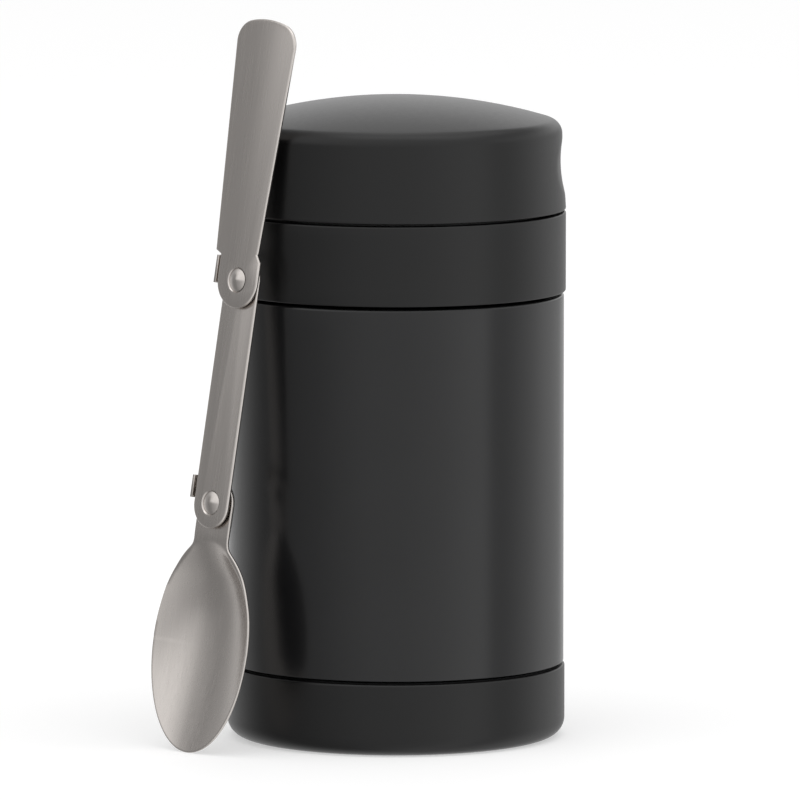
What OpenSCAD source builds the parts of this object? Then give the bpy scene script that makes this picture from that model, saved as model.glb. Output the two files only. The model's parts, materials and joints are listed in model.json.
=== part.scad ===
// Insulated food jar with a screw lid, a flip-up cover and a folding spoon that leans on it.
// Millimetres. +Z is up, the origin is the centre of the jar's flat base, and -Y is the front.

/* [Jar body] */
// Outside radius of the steel body
body_r = 45; // [42:0.5:50]
// Height of the body's shoulder above the base
body_top = 119.2; // [100:0.1:150]
// Rounding of the shoulder's outer edge
shoulder_r = 0.8; // [0.2:0.1:1.5]
// Sheet thickness of the outer shell
shell_t = 0.6; // [0.4:0.1:1]
// Width of the shoulder, from the neck out to the body's side
shoulder_w = 4.6; // [4:0.1:7]
// Height of the neck above the shoulder
neck_h = 12.8; // [11:0.1:14]
// Free gap between the two sheets in the neck
neck_gap = 0.8; // [0.6:0.1:1.2]
// Sheet thickness of the inner liner
liner_t = 0.5; // [0.4:0.1:0.8]
// Height of the food space's floor above the base
liner_floor = 17; // [15:0.5:40]
// Inside corner radius at the bottom of the food space
liner_corner_r = 8; // [4:0.5:12]
// Thickness of the turned-over lip of the mouth
lip_t = 0.6; // [0.4:0.1:1]
// Thickness of the steel bottom of the outer shell
bottom_t = 0.8; // [0.5:0.1:1.2]

/* [Base cup] */
// How far the black base cup stands out past the body
cup_proud = 0.3; // [0:0.1:1]
// Height of the base cup
cup_h = 19.4; // [15:0.1:30]
// Wall thickness of the base cup
cup_t = 1.6; // [1.2:0.1:2.5]
// Floor thickness of the base cup
cup_floor_t = 2.4; // [1.5:0.1:4]
// Rounding of the base cup's bottom corner
cup_corner_r = 5; // [2:0.5:8]
// Rounding of the base cup's top edge
cup_edge_r = 0.6; // [0.2:0.1:0.8]
// Open seam above the base cup
cup_seam = 0.6; // [0.3:0.1:1]

/* [Screw ring] */
// How far the lid's screw ring stands out past the body
ring_proud = 0.5; // [0:0.1:1.5]
// Height of the screw ring
ring_h = 21.3; // [20:0.1:26]
// Seam between the body's shoulder and the ring
ring_seam = 0.7; // [0.4:0.1:1.2]
// Rounding of the ring's lower outer edge
ring_edge_r = 0.5; // [0.2:0.1:1]
// Thickness of the ring's deck under the spoon tray
deck_t = 2.2; // [1.5:0.1:3]
// Thickness of the rim above the deck
rim_t = 2.9; // [2.6:0.1:3.2]
// Height of the rim above the deck
rim_h = 2.5; // [2:0.1:4]

/* [Screw thread] */
// Rise of the lid in one full turn
thread_lead = 8; // [6:0.5:12]
// Number of thread ridges side by side
thread_starts = 2; // [1:1:3]
// How far a ridge stands out of its wall
ridge_depth = 1; // [0.6:0.1:1.1]
// Height of a ridge where it joins the wall
ridge_root_h = 2; // [1.2:0.1:2.2]
// Height of a ridge at its crest
ridge_crest_h = 0.9; // [0.5:0.1:1.2]
// Angle that each neck ridge runs round
neck_ridge_angle = 130; // [60:5:150]
// Angle that each ridge in the ring runs round
ring_ridge_angle = 100; // [60:5:150]
// Height of the start of the neck ridges above the shoulder
neck_ridge_z = 6; // [5:0.1:8]

/* [Stopper] */
// Depth of the stopper below its flange
stopper_depth = 15; // [8:0.5:25]
// Wall thickness of the stopper
stopper_t = 1.8; // [1.2:0.1:3]
// Thickness of the stopper's flange
flange_t = 2; // [1.2:0.1:3]
// Gap between the stopper and the food space's wall
stopper_gap = 0.9; // [0.5:0.1:2]
// Thickness of the rubber seal
seal_t = 1.7; // [1:0.1:2.5]
// Thickness of the spoon tray
tray_t = 1.5; // [1:0.1:2.5]
// Height of the low wall round the tray
tray_wall_h = 2; // [1:0.1:4]

/* [Cover] */
// How far the cover's lower edge stands out past the ring
cover_proud = 0; // [0:0.1:0.5]
// Height of the cover from its lower edge to its top
cover_h = 30.2; // [26:0.1:34]
// Seam between the ring and the cover
cover_seam = 0.6; // [0.4:0.1:1]
// How much the cover's side draws in towards the top
cover_taper = 1; // [0:0.1:3]
// Radius of the cover's top corner
cover_corner_r = 4.1; // [3:0.1:8]
// Radius of the cover's shallow dome
dome_r = 145; // [120:1:300]
// Wall thickness of the cover
cover_t = 2.2; // [1.5:0.1:2.5]
// Height of the finger scoop's middle above the cover's lower edge
scoop_z = 13.1; // [10:0.1:14]
// Radius of the finger scoop, up and down
scoop_r = 33; // [30:1:60]
// Depth of the finger scoop
scoop_depth = 0.8; // [0.3:0.1:1.2]
// Radius of the finger scoop, round the cover
scoop_face_r = 79; // [60:1:150]

/* [Catch] */
// Width of the tongue that snaps the cover shut
catch_w = 12; // [6:1:20]
// Thickness of the catch tongue
catch_t = 1.1; // [0.8:0.1:1.2]
// How far the catch tongue reaches below the cover
catch_h = 2; // [1:0.1:2]

/* [Hinge] */
// Distance of the hinge pin inside the ring's outer face
hinge_inset = 1.3; // [1:0.1:1.6]
// Height of the hinge pin above the ring's top
hinge_rise = 0.8; // [0.6:0.1:1.2]
// Radius of the hinge knuckles
knuckle_r = 2; // [1.6:0.1:2]
// Radius of the hinge pin
pin_r = 0.9; // [0.7:0.1:1]
// Length of the middle knuckle, on the cover
mid_knuckle_l = 9; // [6:0.5:10]
// Length of each outer knuckle, on the ring
end_knuckle_l = 4.2; // [3:0.1:5]

/* [Spoon plates] */
// Sheet thickness of the handle and the link
plate_t = 1.1; // [0.9:0.1:1.3]
// Free gap between neighbouring spoon plates
plate_gap = 0.7; // [0.6:0.1:0.9]
// Distance between the spoon's two rivets
link_l = 59.6; // [50:0.1:65]
// Width of the link
link_w = 12.8; // [10:0.1:14]
// How far the centre of the link's end arcs lies beyond each rivet
link_over = 0.4; // [0:0.1:0.6]
// Length of the handle above its rivet
handle_l = 69.4; // [60:0.1:72]
// Width of the handle just above its shoulders
handle_low_w = 15.8; // [14:0.1:16]
// Width of the handle at its top
handle_top_w = 22; // [16:0.1:26]
// Sideways shift of the handle's middle from its rivet, to the left
handle_shift = 1.6; // [0:0.1:2]
// Radius of the handle's lower end
handle_end_r = 7.5; // [7:0.1:7.6]
// Radius of the handle's top corners
handle_corner_r = 6; // [2:0.1:8]
// Rise of the handle's curved top edge
handle_crown = 0.8; // [0.2:0.1:2]
// Height of the stop tab on the bowl's tang
tab_h = 6; // [4:0.1:7]
// Height of the stop tab on the link
link_tab_h = 7.4; // [4:0.1:9]
// Thickness of the stop tabs
tab_t = 0.8; // [0.6:0.1:1.2]

/* [Spoon bowl] */
// Length of the bowl
bowl_l = 56.8; // [50:0.1:58]
// Width of the bowl
bowl_w = 35.8; // [30:0.1:38]
// Distance from the lower rivet to the bowl's tip
bowl_reach = 66.9; // [62:0.1:68]
// Hollow of the bowl below its rim
bowl_depth = 4.4; // [2:0.1:4.4]
// Step from the tang back to the bowl's rim
bowl_step = 1.3; // [0.5:0.1:1.3]
// Sheet thickness of the bowl
bowl_t = 0.8; // [0.6:0.1:0.8]

/* [Rivets] */
// Radius of the rivets' shanks
rivet_r = 2; // [1.5:0.1:2.5]
// Radius of the rivets' heads
rivet_head_r = 3.1; // [2.8:0.1:3.6]
// Height of the handle rivet's front head
handle_head_h = 0.6; // [0.4:0.1:1.2]
// Height of the other rivet heads
low_head_h = 0.5; // [0.3:0.1:0.5]
// Outside radius of the spacing washers
washer_r = 4.2; // [3.4:0.1:5]

/* [Spoon's place] */
// Compass angle of the spoon's face, from the front towards the left
spoon_turn = 45.2; // [40:0.1:50]
// Lean of the spoon towards the jar
spoon_lean = 7.8; // [7:0.1:9]
// Tilt of the spoon in its own plane, to the right
spoon_roll = 3.5; // [0:0.1:5]
// Sideways place of the lower rivet, to the right of the jar's axis
spoon_side = -10.46; // [-14:0.01:-8]
// Gap between the cover and the back of the handle
spoon_rest_gap = 2; // [2:0.1:3]

/* [Fits] */
// Clearance between screw threads and walls
thread_gap = 0.4; // [0.3:0.05:0.5]
// Clearance between the stopper's foam and the hole in the deck
foam_gap = 0.2; // [0.1:0.05:0.5]
// Clearance between the tray and the ring's rim
tray_gap = 0.3; // [0.1:0.05:0.5]
// Clearance between moving faces of the lid
lid_gap = 0.4; // [0.3:0.05:0.5]
// Gap that stands for the seal before it is pressed
seal_gap = 0.2; // [0.1:0.05:0.3]
// Running clearance of pins and rivets in their holes
run_gap = 0.06; // [0.03:0.01:0.1]
// End play between stacked spoon pieces
end_play = 0.1; // [0.05:0.01:0.15]
// Clearance of the folding spoon's ends and tabs
fold_gap = 0.2; // [0.1:0.05:0.3]

/* [Hidden] */
$fn = 96;
eps = 0.01;

// Radii, worked in and out from the body's side
neck_r = body_r - shoulder_w;
liner_r = neck_r - shell_t - neck_gap - liner_t;
stopper_r = liner_r - stopper_gap;
foam_r = stopper_r - stopper_t;
deck_hole_r = foam_r + foam_gap;
cup_r = body_r + cup_proud;
foot_r = body_r - cup_t - 0.1;
ring_r = body_r + ring_proud;
ring_bore_r = neck_r + ridge_depth + thread_gap;
rim_bore_r = ring_r - rim_t;
cover_r = ring_r + cover_proud;
hinge_x = ring_r - hinge_inset;
catch_x = cover_r - 1 - lid_gap - catch_t;

// Heights, worked up from the base
shell_foot_z = cup_floor_t + 3.6;
shell_step_z = cup_h + cup_seam;
mouth_z = body_top + neck_h;
lip_z = mouth_z + lip_t;
ring_z0 = body_top + ring_seam;
ring_z1 = ring_z0 + ring_h;
deck_z1 = ring_z1 - rim_h;
deck_z0 = deck_z1 - deck_t;
flange_z0 = deck_z0 - flange_t;
stopper_z0 = flange_z0 - stopper_depth;
cover_z0 = ring_z1 + cover_seam;
cover_z1 = cover_z0 + cover_h;
hinge_z = ring_z1 + hinge_rise;

// The cover's outline: its corner arc touches both the drawn-in side and the dome
cover_side_r = cover_r - cover_taper;
corner_c = cover_side_r - cover_corner_r;
dome_z = cover_z1 - dome_r;
corner_z = dome_z + sqrt(pow(dome_r - cover_corner_r, 2) - pow(corner_c, 2));
corner_a = asin(corner_c / (dome_r - cover_corner_r));

// The spoon's stack, measured back from the link's front face
plate_pitch = plate_t + plate_gap;
tang_y = plate_pitch;
rim_y = tang_y + bowl_step;
// the handle's left shoulder, above its rivet, and the notch under it where the stop tab ends
handle_low_z = handle_end_r - 0.6;
handle_notch_z = handle_low_z - 0.8;
bowl_mid = bowl_reach - bowl_l / 2;
neck_z = bowl_reach - bowl_l;

// The spoon's place: its handle lies off the cover's corner and its tip stands on the floor
handle_back = corner_c * cos(spoon_lean) + corner_z * sin(spoon_lean) + cover_corner_r + spoon_rest_gap;
link_front = handle_back + plate_t - plate_pitch;
tip_drop = bowl_mid * cos(spoon_roll)
    + norm([bowl_l / 2 * cos(spoon_roll), bowl_w / 2 * sin(spoon_roll)]);
spoon_z = cos(spoon_lean) * tip_drop + sin(spoon_lean) * (rim_y + bowl_t);
spoon_out = (link_front - spoon_z * sin(spoon_lean)) / cos(spoon_lean);
spoon_at = [cos(spoon_turn) * spoon_side - sin(spoon_turn) * spoon_out,
    -sin(spoon_turn) * spoon_side - cos(spoon_turn) * spoon_out, spoon_z];

// ---------- helpers ----------

// Points of an arc, from angle a0 to a1
function arc(c, r, a0, a1, n = 8) =
    [for (i = [0 : n]) c + r * [cos(a0 + (a1 - a0) * i / n), sin(a0 + (a1 - a0) * i / n)]];

// A solid of revolution about the jar's axis
module turned() { rotate_extrude() children(); }

// A flat ring of rectangular section
module band(r0, r1, z0, z1) {
    turned() translate([r0, z0]) square([r1 - r0, z1 - z0]);
}

// A ridge of trapezoid section that climbs round a wall of radius r.
// out is +1 on the outside of a neck and -1 on the inside of a ring.
module ridge(r, out, z0, angle, phase) {
    steps = ceil(angle / 6);
    root = r - out * 0.15;
    crest = r + out * ridge_depth;
    section = [[root, -ridge_root_h / 2], [crest, -ridge_crest_h / 2],
        [crest, ridge_crest_h / 2], [root, ridge_root_h / 2]];
    points = [for (i = [0 : steps]) let (a = phase + angle * i / steps)
        for (p = section) [p[0] * cos(a), p[0] * sin(a), z0 + thread_lead * angle * i / steps / 360 + p[1]]];
    sides = [for (i = [0 : steps - 1]) for (j = [0 : 3]) let (a = 4 * i + j, b = 4 * i + (j + 1) % 4)
        each [[a, b, b + 4], [a, b + 4, a + 4]]];
    last = 4 * steps;
    ends = [[3, 2, 1], [3, 1, 0], [last, last + 1, last + 2], [last, last + 2, last + 3]];
    faces = concat(sides, ends);
    polyhedron(points, out > 0 ? faces : [for (f = faces) [f[2], f[1], f[0]]]);
}

// The same ridge once for each start
module ridges(r, out, z0, angle) {
    for (i = [0 : thread_starts - 1]) ridge(r, out, z0, angle, 360 * i / thread_starts);
}

// ---------- jar body ----------

// Section of the outer shell's space, drawn in by inset: foot, body, shoulder and neck
module shell_section(inset, top) {
    r = body_r - inset;
    foot = foot_r - inset;
    edge = max(shoulder_r - inset, 0.1);
    polygon(concat(
        [[0, shell_foot_z], [foot, shell_foot_z], [foot, shell_step_z - 0.3 + inset],
            [r, shell_step_z + 0.3 + inset]],
        arc([r - edge, body_top - inset - edge], edge, 0, 90, 5),
        [[neck_r - inset, body_top - inset], [neck_r - inset, top], [0, top]]));
}

module outer_shell() color("#1b1c1e") {
    difference() {
        turned() shell_section(0, mouth_z);
        turned() difference() {
            shell_section(shell_t, mouth_z + 1);
            square([neck_r * 2, shell_foot_z + eps]);
        }
        band(0, foot_r - shell_t, shell_foot_z - 1, shell_foot_z + 1);
    }
    ridges(neck_r, 1, body_top + neck_ridge_z, neck_ridge_angle);
}

// Section of the food space, drawn out by grow
module food_section(grow, top) {
    r = liner_r + grow;
    c = liner_corner_r + grow;
    z = liner_floor - grow;
    polygon(concat([[0, z]], arc([r - c, z + c], c, -90, 0), [[r, top], [0, top]]));
}

module inner_liner() color("silver") {
    turned() difference() {
        union() {
            food_section(liner_t, lip_z);
            translate([0, mouth_z]) square([neck_r, lip_t]);
        }
        food_section(0, lip_z + 1);
    }
}

module outer_base() color("silver") {
    band(0, foot_r - shell_t, shell_foot_z, shell_foot_z + bottom_t);
}

module getter() color("dimgray") {
    translate([body_r * 4 / 9, 0, shell_foot_z + bottom_t]) cylinder(r = 6, h = 1.5);
}

module radiation_foil() color("#c98b5a") {
    r = liner_r + liner_t + 0.3;
    band(r, r + 0.15, liner_floor + liner_corner_r + 2, body_top - 6);
}

module vacuum_plug() color("gray") {
    translate([0, 0, shell_foot_z - 1]) cylinder(r = 3, h = 1);
}

module base_cup() color("#161618") {
    inner = foot_r + 0.1;
    turned() difference() {
        polygon(concat([[0, 0]], arc([cup_r - cup_corner_r, cup_corner_r], cup_corner_r, -90, 0),
            arc([cup_r - cup_edge_r, cup_h - cup_edge_r], cup_edge_r, 0, 90, 4), [[0, cup_h]]));
        translate([0, cup_floor_t]) polygon(concat(
            arc([inner - cup_corner_r + cup_t, cup_corner_r - cup_t], cup_corner_r - cup_t, -90, 0),
            [[inner, cup_h], [0, cup_h], [0, 0]]));
    }
}

// ---------- lid ----------

module screw_ring() color("#161618") {
    clear = lid_gap + knuckle_r;
    half = mid_knuckle_l / 2 + lid_gap;
    difference() {
        union() {
            turned() difference() {
                polygon(concat([[0, ring_z0]],
                    arc([ring_r - ring_edge_r, ring_z0 + ring_edge_r], ring_edge_r, -90, 0, 4),
                    arc([ring_r - ring_edge_r, ring_z1 - ring_edge_r], ring_edge_r, 0, 90, 4),
                    [[0, ring_z1]]));
                translate([0, ring_z0 - 1]) square([ring_bore_r, deck_z0 - ring_z0 + 1]);
                translate([0, ring_z0]) square([deck_hole_r, ring_h]);
                translate([0, deck_z1]) square([rim_bore_r, rim_h + 1]);
            }
            ring_knuckles();
        }
        // room for the cover's knuckle and its arm
        translate([-hinge_x - knuckle_r - 4, -half, hinge_z - clear - 1.4])
            cube([knuckle_r + 4 + 1.3, 2 * half, clear + 5]);
        translate([-hinge_x, half, hinge_z]) rotate([90, 0, 0]) cylinder(r = clear, h = 2 * half);
        translate([-hinge_x, ring_r, hinge_z]) rotate([90, 0, 0]) cylinder(r = pin_r, h = 2 * ring_r);
        // notch for the cover's catch, open to the inside
        translate([rim_bore_r - 2, -catch_w / 2 - lid_gap, cover_z0 - catch_h - lid_gap])
            cube([catch_x + catch_t + lid_gap - rim_bore_r + 2, catch_w + 2 * lid_gap, catch_h + 2 * lid_gap]);
    }
    ridges(ring_bore_r, -1, ring_ridge_z, ring_ridge_angle);
}

// The ring's ridges sit just under the neck's when the lid is shut
ring_ridge_z = body_top + neck_ridge_z - (ridge_root_h + ridge_crest_h) / 2 - 0.3;

// The two outer knuckles, each on a foot that runs down into the ring's wall
module ring_knuckles() {
    y0 = mid_knuckle_l / 2 + lid_gap - 0.1;
    for (s = [-1, 1]) translate([-hinge_x, s * (y0 + end_knuckle_l / 2), hinge_z]) {
        rotate([90, 0, 0]) cylinder(r = knuckle_r, h = end_knuckle_l, center = true);
        translate([-knuckle_r + 0.8, -end_knuckle_l / 2, -hinge_rise - 5])
            cube([2 * knuckle_r - 1.2, end_knuckle_l, hinge_rise + 5]);
    }
}

module stopper() color("#2a2b2d") {
    turned() difference() {
        union() {
            translate([0, stopper_z0]) square([stopper_r, stopper_depth + eps]);
            translate([0, flange_z0]) square([ring_bore_r - lid_gap, flange_t]);
        }
        translate([0, stopper_z0 + stopper_t])
            square([foam_r, stopper_depth + flange_t]);
    }
}

module stopper_foam() color("ivory") {
    band(0, foam_r, stopper_z0 + stopper_t, deck_z1);
}

module spoon_tray() color("#222325") {
    r = rim_bore_r - tray_gap;
    wall_r = hinge_x - knuckle_r - lid_gap - 1;
    difference() {
        union() {
            band(0, r, deck_z1, deck_z1 + tray_t);
            band(wall_r - 1.5, wall_r, deck_z1, deck_z1 + tray_t + tray_wall_h);
        }
        translate([-hinge_x, ring_r, hinge_z]) rotate([90, 0, 0])
            cylinder(r = knuckle_r + lid_gap, h = 2 * ring_r);
    }
}

module lid_seal() color("#d8d8d4") {
    z0 = lip_z + seal_gap;
    r1 = neck_r + 0.4;
    difference() {
        band(stopper_r + 0.1, r1, z0, flange_z0 - seal_gap);
        // groove that makes the seal's lip
        band(liner_r + 0.9, liner_r + 1.3, z0 - 1, z0 + seal_t / 3);
    }
}

// ---------- cover ----------

// Section of the cover's space, drawn in by inset
module cover_section(inset) {
    draw = atan2(cover_taper, corner_z - cover_z0);
    polygon(concat([[0, cover_z0], [cover_r - inset, cover_z0]],
        arc([corner_c, corner_z], cover_corner_r - inset, draw, 90 - corner_a, 8),
        arc([0, dome_z], dome_r - inset, 90 - corner_a, 90, 6)));
}

module cover() color("#1a1b1d") {
    reach = 2.9;
    notch = mid_knuckle_l / 2 + end_knuckle_l + 2 * lid_gap;
    arm_h = reach + 1.6;
    scoop_x = cover_r - cover_taper * scoop_z / (corner_z - cover_z0) - scoop_depth - scoop_face_r;
    difference() {
        union() {
            difference() {
                turned() difference() {
                    cover_section(0);
                    intersection() {
                        cover_section(cover_t);
                        translate([0, cover_z0 - 1]) square([cover_r, cover_h]);
                    }
                    translate([0, cover_z0 - 1]) square([cover_r - cover_t, 1 + eps]);
                }
                translate([-hinge_x, notch, hinge_z]) rotate([90, 0, 0])
                    cylinder(r = reach, h = 2 * notch);
                translate([-hinge_x - reach - 2, -notch, cover_z0 - 1])
                    cube([reach + 2, 2 * notch, hinge_z - cover_z0 + 1]);
            }
            // hinge knuckle and the arm that joins it to the cover's wall
            translate([-hinge_x, mid_knuckle_l / 2, hinge_z]) rotate([90, 0, 0])
                cylinder(r = knuckle_r, h = mid_knuckle_l);
            translate([-hinge_x - 1.2, -mid_knuckle_l / 2, hinge_z])
                cube([3, mid_knuckle_l, arm_h]);
            // catch tongue
            translate([catch_x, -catch_w / 2, cover_z0 - catch_h]) cube([catch_t, catch_w, catch_h + 1.6]);
        }
        translate([-hinge_x, cover_r, hinge_z]) rotate([90, 0, 0])
            cylinder(r = pin_r + run_gap, h = 2 * cover_r);
        // finger scoop
        translate([scoop_x, 0, cover_z0 + scoop_z]) rotate_extrude()
            translate([scoop_face_r + scoop_r, 0]) circle(scoop_r);
    }
}

module hinge_pin() color("silver") {
    half = mid_knuckle_l / 2 + lid_gap - 0.1 + end_knuckle_l;
    translate([-hinge_x, half, hinge_z]) rotate([90, 0, 0]) cylinder(r = pin_r, h = 2 * half);
}

// ---------- spoon ----------

// Puts a piece of the spoon in its place. In the spoon's own frame X is to the right, Y goes
// back towards the jar from the link's front face, and Z runs up from the lower rivet.
module placed() {
    translate(spoon_at) rotate([0, 0, -spoon_turn]) rotate([-spoon_lean, 0, 0])
        rotate([0, spoon_roll, 0]) children();
}

// A flat plate, from depth y to y + t, with its outline drawn as right and up
module plate(y, t) {
    translate([0, y + t, 0]) rotate([90, 0, 0]) linear_extrude(t) children();
}

// A round hole or shank along Y, at height z
module across(r, y, t, z) {
    translate([0, y + t, z]) rotate([90, 0, 0]) cylinder(r = r, h = t);
}

// A domed rivet head of height h that stands out from depth y, to the front (out = -1) or back
module rivet_head(h, y, z, out) {
    ball = (pow(rivet_head_r, 2) + pow(h, 2)) / (2 * h);
    translate([0, y, z]) rotate([-90 * out, 0, 0]) rotate_extrude() intersection() {
        translate([0, h - ball]) circle(ball);
        square([rivet_head_r, h]);
    }
}

// Outline of the handle, measured from its rivet
module handle_outline() {
    end_r = handle_end_r;
    low = handle_low_z;
    left = -handle_shift - handle_low_w / 2;
    right = -handle_shift + handle_low_w / 2;
    top_l = -handle_shift - handle_top_w / 2;
    top_r = -handle_shift + handle_top_w / 2;
    c = handle_corner_r;
    top = handle_l - handle_crown;
    chord = handle_top_w - 2 * c;
    crown_r = (pow(chord / 2, 2) + pow(handle_crown, 2)) / (2 * handle_crown);
    half = asin(chord / 2 / crown_r);
    circle(end_r);
    polygon(concat([[-end_r, 0], [end_r, 0], [end_r, end_r - 2], [right, low + 0.9]],
        arc([top_r - c, top - c], c, 0, 90 - half / 2, 6),
        arc([-handle_shift, handle_l - crown_r], crown_r, 90 - half, 90 + half, 8),
        arc([top_l + c, top - c], c, 90 + half / 2, 180, 6),
        [[left, low], [-end_r, handle_notch_z]]));
}

module spoon_handle() color("#a8a49c") placed() translate([0, 0, link_l]) difference() {
    plate(-plate_pitch, plate_t) handle_outline();
    across(rivet_r + run_gap, -plate_pitch - 1, plate_t + 2, 0);
}

// A stop tab: out from the left edge of a plate at depth y0, then forward to depth y1
module stop_tab(inner, y0, y1, t, z0, h) {
    translate([-inner - tab_t, y1, z0]) cube([tab_t, y0 + t - y1, h]);
    translate([-inner - tab_t, y0, z0]) cube([inner, t, h]);
}

module spoon_link() color("#a8a49c") placed() difference() {
    end_r = link_w / 2;
    union() {
        plate(0, plate_t) union() {
            translate([0, -link_over]) circle(end_r);
            translate([0, link_l + link_over]) circle(end_r);
            translate([-end_r, -link_over]) square([link_w, link_l + 2 * link_over]);
        }
        stop_tab(handle_end_r + fold_gap, 0, -plate_pitch - 0.2, plate_t,
            link_l + handle_notch_z - 0.4 - link_tab_h, link_tab_h);
    }
    for (z = [0, link_l]) across(rivet_r, -1, plate_t + 2, z);
}

// Half width of the bowl at height z: an ellipse that runs into the tang
function bowl_half(z) =
    let (q = (z + bowl_mid) / (bowl_l / 2), e = bowl_w / 2 * sqrt(max(0, 1 - q * q)),
        tang = link_w / 2 - 0.05, s = 1.6)
    z > -bowl_mid ? (e + tang + sqrt(pow(e - tang, 2) + s * s)) / 2 * bowl_trim(z) : e;

// Takes the blend's small surplus back out, so the tang keeps its width and the bowl its own
function bowl_trim(z) = z > -neck_z
    ? (link_w / 2 - 0.05) / ((link_w / 2 - 0.05 + sqrt(pow(link_w / 2 - 0.05, 2) + 1.6 * 1.6)) / 2)
    : 1;

// Depth of the rim: level with the tang at the neck, then a step back
function rim_depth(z) = let (s = max(0, min(1, (2.1 - neck_z - z) / 12)))
    tang_y + 0.05 + (bowl_step - 0.05) * s * s * (3 - 2 * s);

// How deep the hollow is at height z, from 0 to 1, deepest nearer the neck
function hollow(z) = let (top = -neck_z, end = -bowl_reach, deep = top - bowl_l / 3,
        q = z > deep ? (z - deep) / (top - deep) : (deep - z) / (deep - end))
    max(0, 1 - pow(abs(q), 1.6));

module bowl_shell() {
    rows = 30;
    cols = 14;
    // rows close up towards the tip, where the outline turns
    zs = [for (i = [0 : rows]) let (k = i / rows)
        k < 0.3 ? -4 - (bowl_mid * 0.5 - 4) * k / 0.3
            : -bowl_mid * 0.5 - (bowl_reach - 0.01 - bowl_mid * 0.5) * sin(90 * (k - 0.3) / 0.7)];
    front = [for (z = zs) for (j = [0 : cols]) let (v = 2 * j / cols - 1)
        [v * bowl_half(z), rim_depth(z) + bowl_depth * hollow(z) * (1 - pow(abs(v), 2.4)), z]];
    back = [for (p = front) p + [0, bowl_t, 0]];
    n = len(front);
    w = cols + 1;
    grid = [for (i = [0 : rows - 1]) for (j = [0 : cols - 1]) let (a = i * w + j)
        each [[a, a + 1, a + w], [a + 1, a + w + 1, a + w]]];
    rim = concat([for (j = [0 : cols - 1]) [j, j + 1]],
        [for (i = [0 : rows - 1]) [i * w + cols, (i + 1) * w + cols]],
        [for (j = [cols - 1 : -1 : 0]) [rows * w + j + 1, rows * w + j]],
        [for (i = [rows - 1 : -1 : 0]) [(i + 1) * w, i * w]]);
    polyhedron(concat(front, back), concat(
        grid,
        [for (f = grid) [f[2] + n, f[1] + n, f[0] + n]],
        [for (e = rim) each [[e[1], e[0], e[0] + n], [e[1], e[0] + n, e[1] + n]]]));
}

module spoon_bowl() color("#a8a49c") placed() difference() {
    union() {
        plate(tang_y, plate_t) union() {
            circle(link_w / 2);
            translate([-link_w / 2, -7]) square([link_w, 7]);
        }
        bowl_shell();
        stop_tab(link_w / 2 + link_over + fold_gap, tang_y, -0.3, plate_t, 0.5, tab_h);
    }
    across(rivet_r + run_gap, tang_y - 1, plate_t + 2, 0);
}

module handle_rivet() color("silver") placed() {
    front = -plate_pitch - end_play;
    across(rivet_r, front - eps, plate_pitch + end_play + plate_t + 2 * eps, link_l);
    rivet_head(handle_head_h, front, link_l, -1);
    rivet_head(low_head_h, plate_t, link_l, 1);
}

module bowl_rivet() color("silver") placed() {
    back = tang_y + plate_t + end_play;
    across(rivet_r, -eps, back + 2 * eps, 0);
    rivet_head(low_head_h, 0, 0, -1);
    rivet_head(low_head_h, back, 0, 1);
}

// A spacing washer that lies against the link, from depth y
module washer(y, z) {
    difference() {
        across(washer_r, y, plate_gap - end_play, z);
        across(rivet_r, y - 1, plate_gap + 2, z);
    }
}

module handle_washer() color("gray") placed() washer(-plate_gap + end_play, link_l);

module bowl_washer() color("gray") placed() washer(plate_t, 0);

outer_shell();
inner_liner();
outer_base();
getter();
radiation_foil();
vacuum_plug();
base_cup();
screw_ring();
stopper();
stopper_foam();
spoon_tray();
lid_seal();
cover();
hinge_pin();
spoon_handle();
spoon_link();
spoon_bowl();
handle_rivet();
bowl_rivet();
handle_washer();
bowl_washer();
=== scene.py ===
"""Surfaces, finishes and studio for an insulated food jar with a folding spoon, built on its CAD frame."""

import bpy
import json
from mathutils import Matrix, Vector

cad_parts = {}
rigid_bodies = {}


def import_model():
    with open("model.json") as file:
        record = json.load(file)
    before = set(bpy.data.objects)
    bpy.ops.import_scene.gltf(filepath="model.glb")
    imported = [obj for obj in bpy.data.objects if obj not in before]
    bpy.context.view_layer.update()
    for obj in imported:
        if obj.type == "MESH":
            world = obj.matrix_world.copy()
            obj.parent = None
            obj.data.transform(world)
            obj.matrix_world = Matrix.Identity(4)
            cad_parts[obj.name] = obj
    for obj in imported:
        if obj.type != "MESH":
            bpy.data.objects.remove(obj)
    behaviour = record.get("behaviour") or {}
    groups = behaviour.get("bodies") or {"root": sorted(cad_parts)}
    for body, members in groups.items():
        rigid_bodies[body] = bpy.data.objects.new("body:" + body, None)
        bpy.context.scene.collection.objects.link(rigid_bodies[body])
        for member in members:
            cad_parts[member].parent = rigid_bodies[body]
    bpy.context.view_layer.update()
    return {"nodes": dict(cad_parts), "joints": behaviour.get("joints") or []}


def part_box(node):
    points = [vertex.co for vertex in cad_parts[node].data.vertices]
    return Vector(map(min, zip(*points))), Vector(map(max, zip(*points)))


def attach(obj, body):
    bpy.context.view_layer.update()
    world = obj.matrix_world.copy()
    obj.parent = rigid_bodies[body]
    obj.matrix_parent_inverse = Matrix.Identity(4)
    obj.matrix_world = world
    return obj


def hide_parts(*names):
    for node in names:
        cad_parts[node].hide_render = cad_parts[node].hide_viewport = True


bl_info = {
    "name": "Food jar with folding spoon",
    "version": (1, 0, 0),
    "blender": (4, 5, 0),
    "location": "3D View > Sidebar > Food jar",
    "description": "Makes the surfaces and finishes of an insulated food jar on its CAD frame",
    "category": "Add Mesh",
}

import json
import math

import bmesh
import bpy
import numpy as np
from bpy.props import FloatProperty, FloatVectorProperty, PointerProperty
from bpy.types import Operator, Panel, PropertyGroup

for leftover in list(bpy.data.objects):
    bpy.data.objects.remove(leftover)
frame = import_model()

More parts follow.
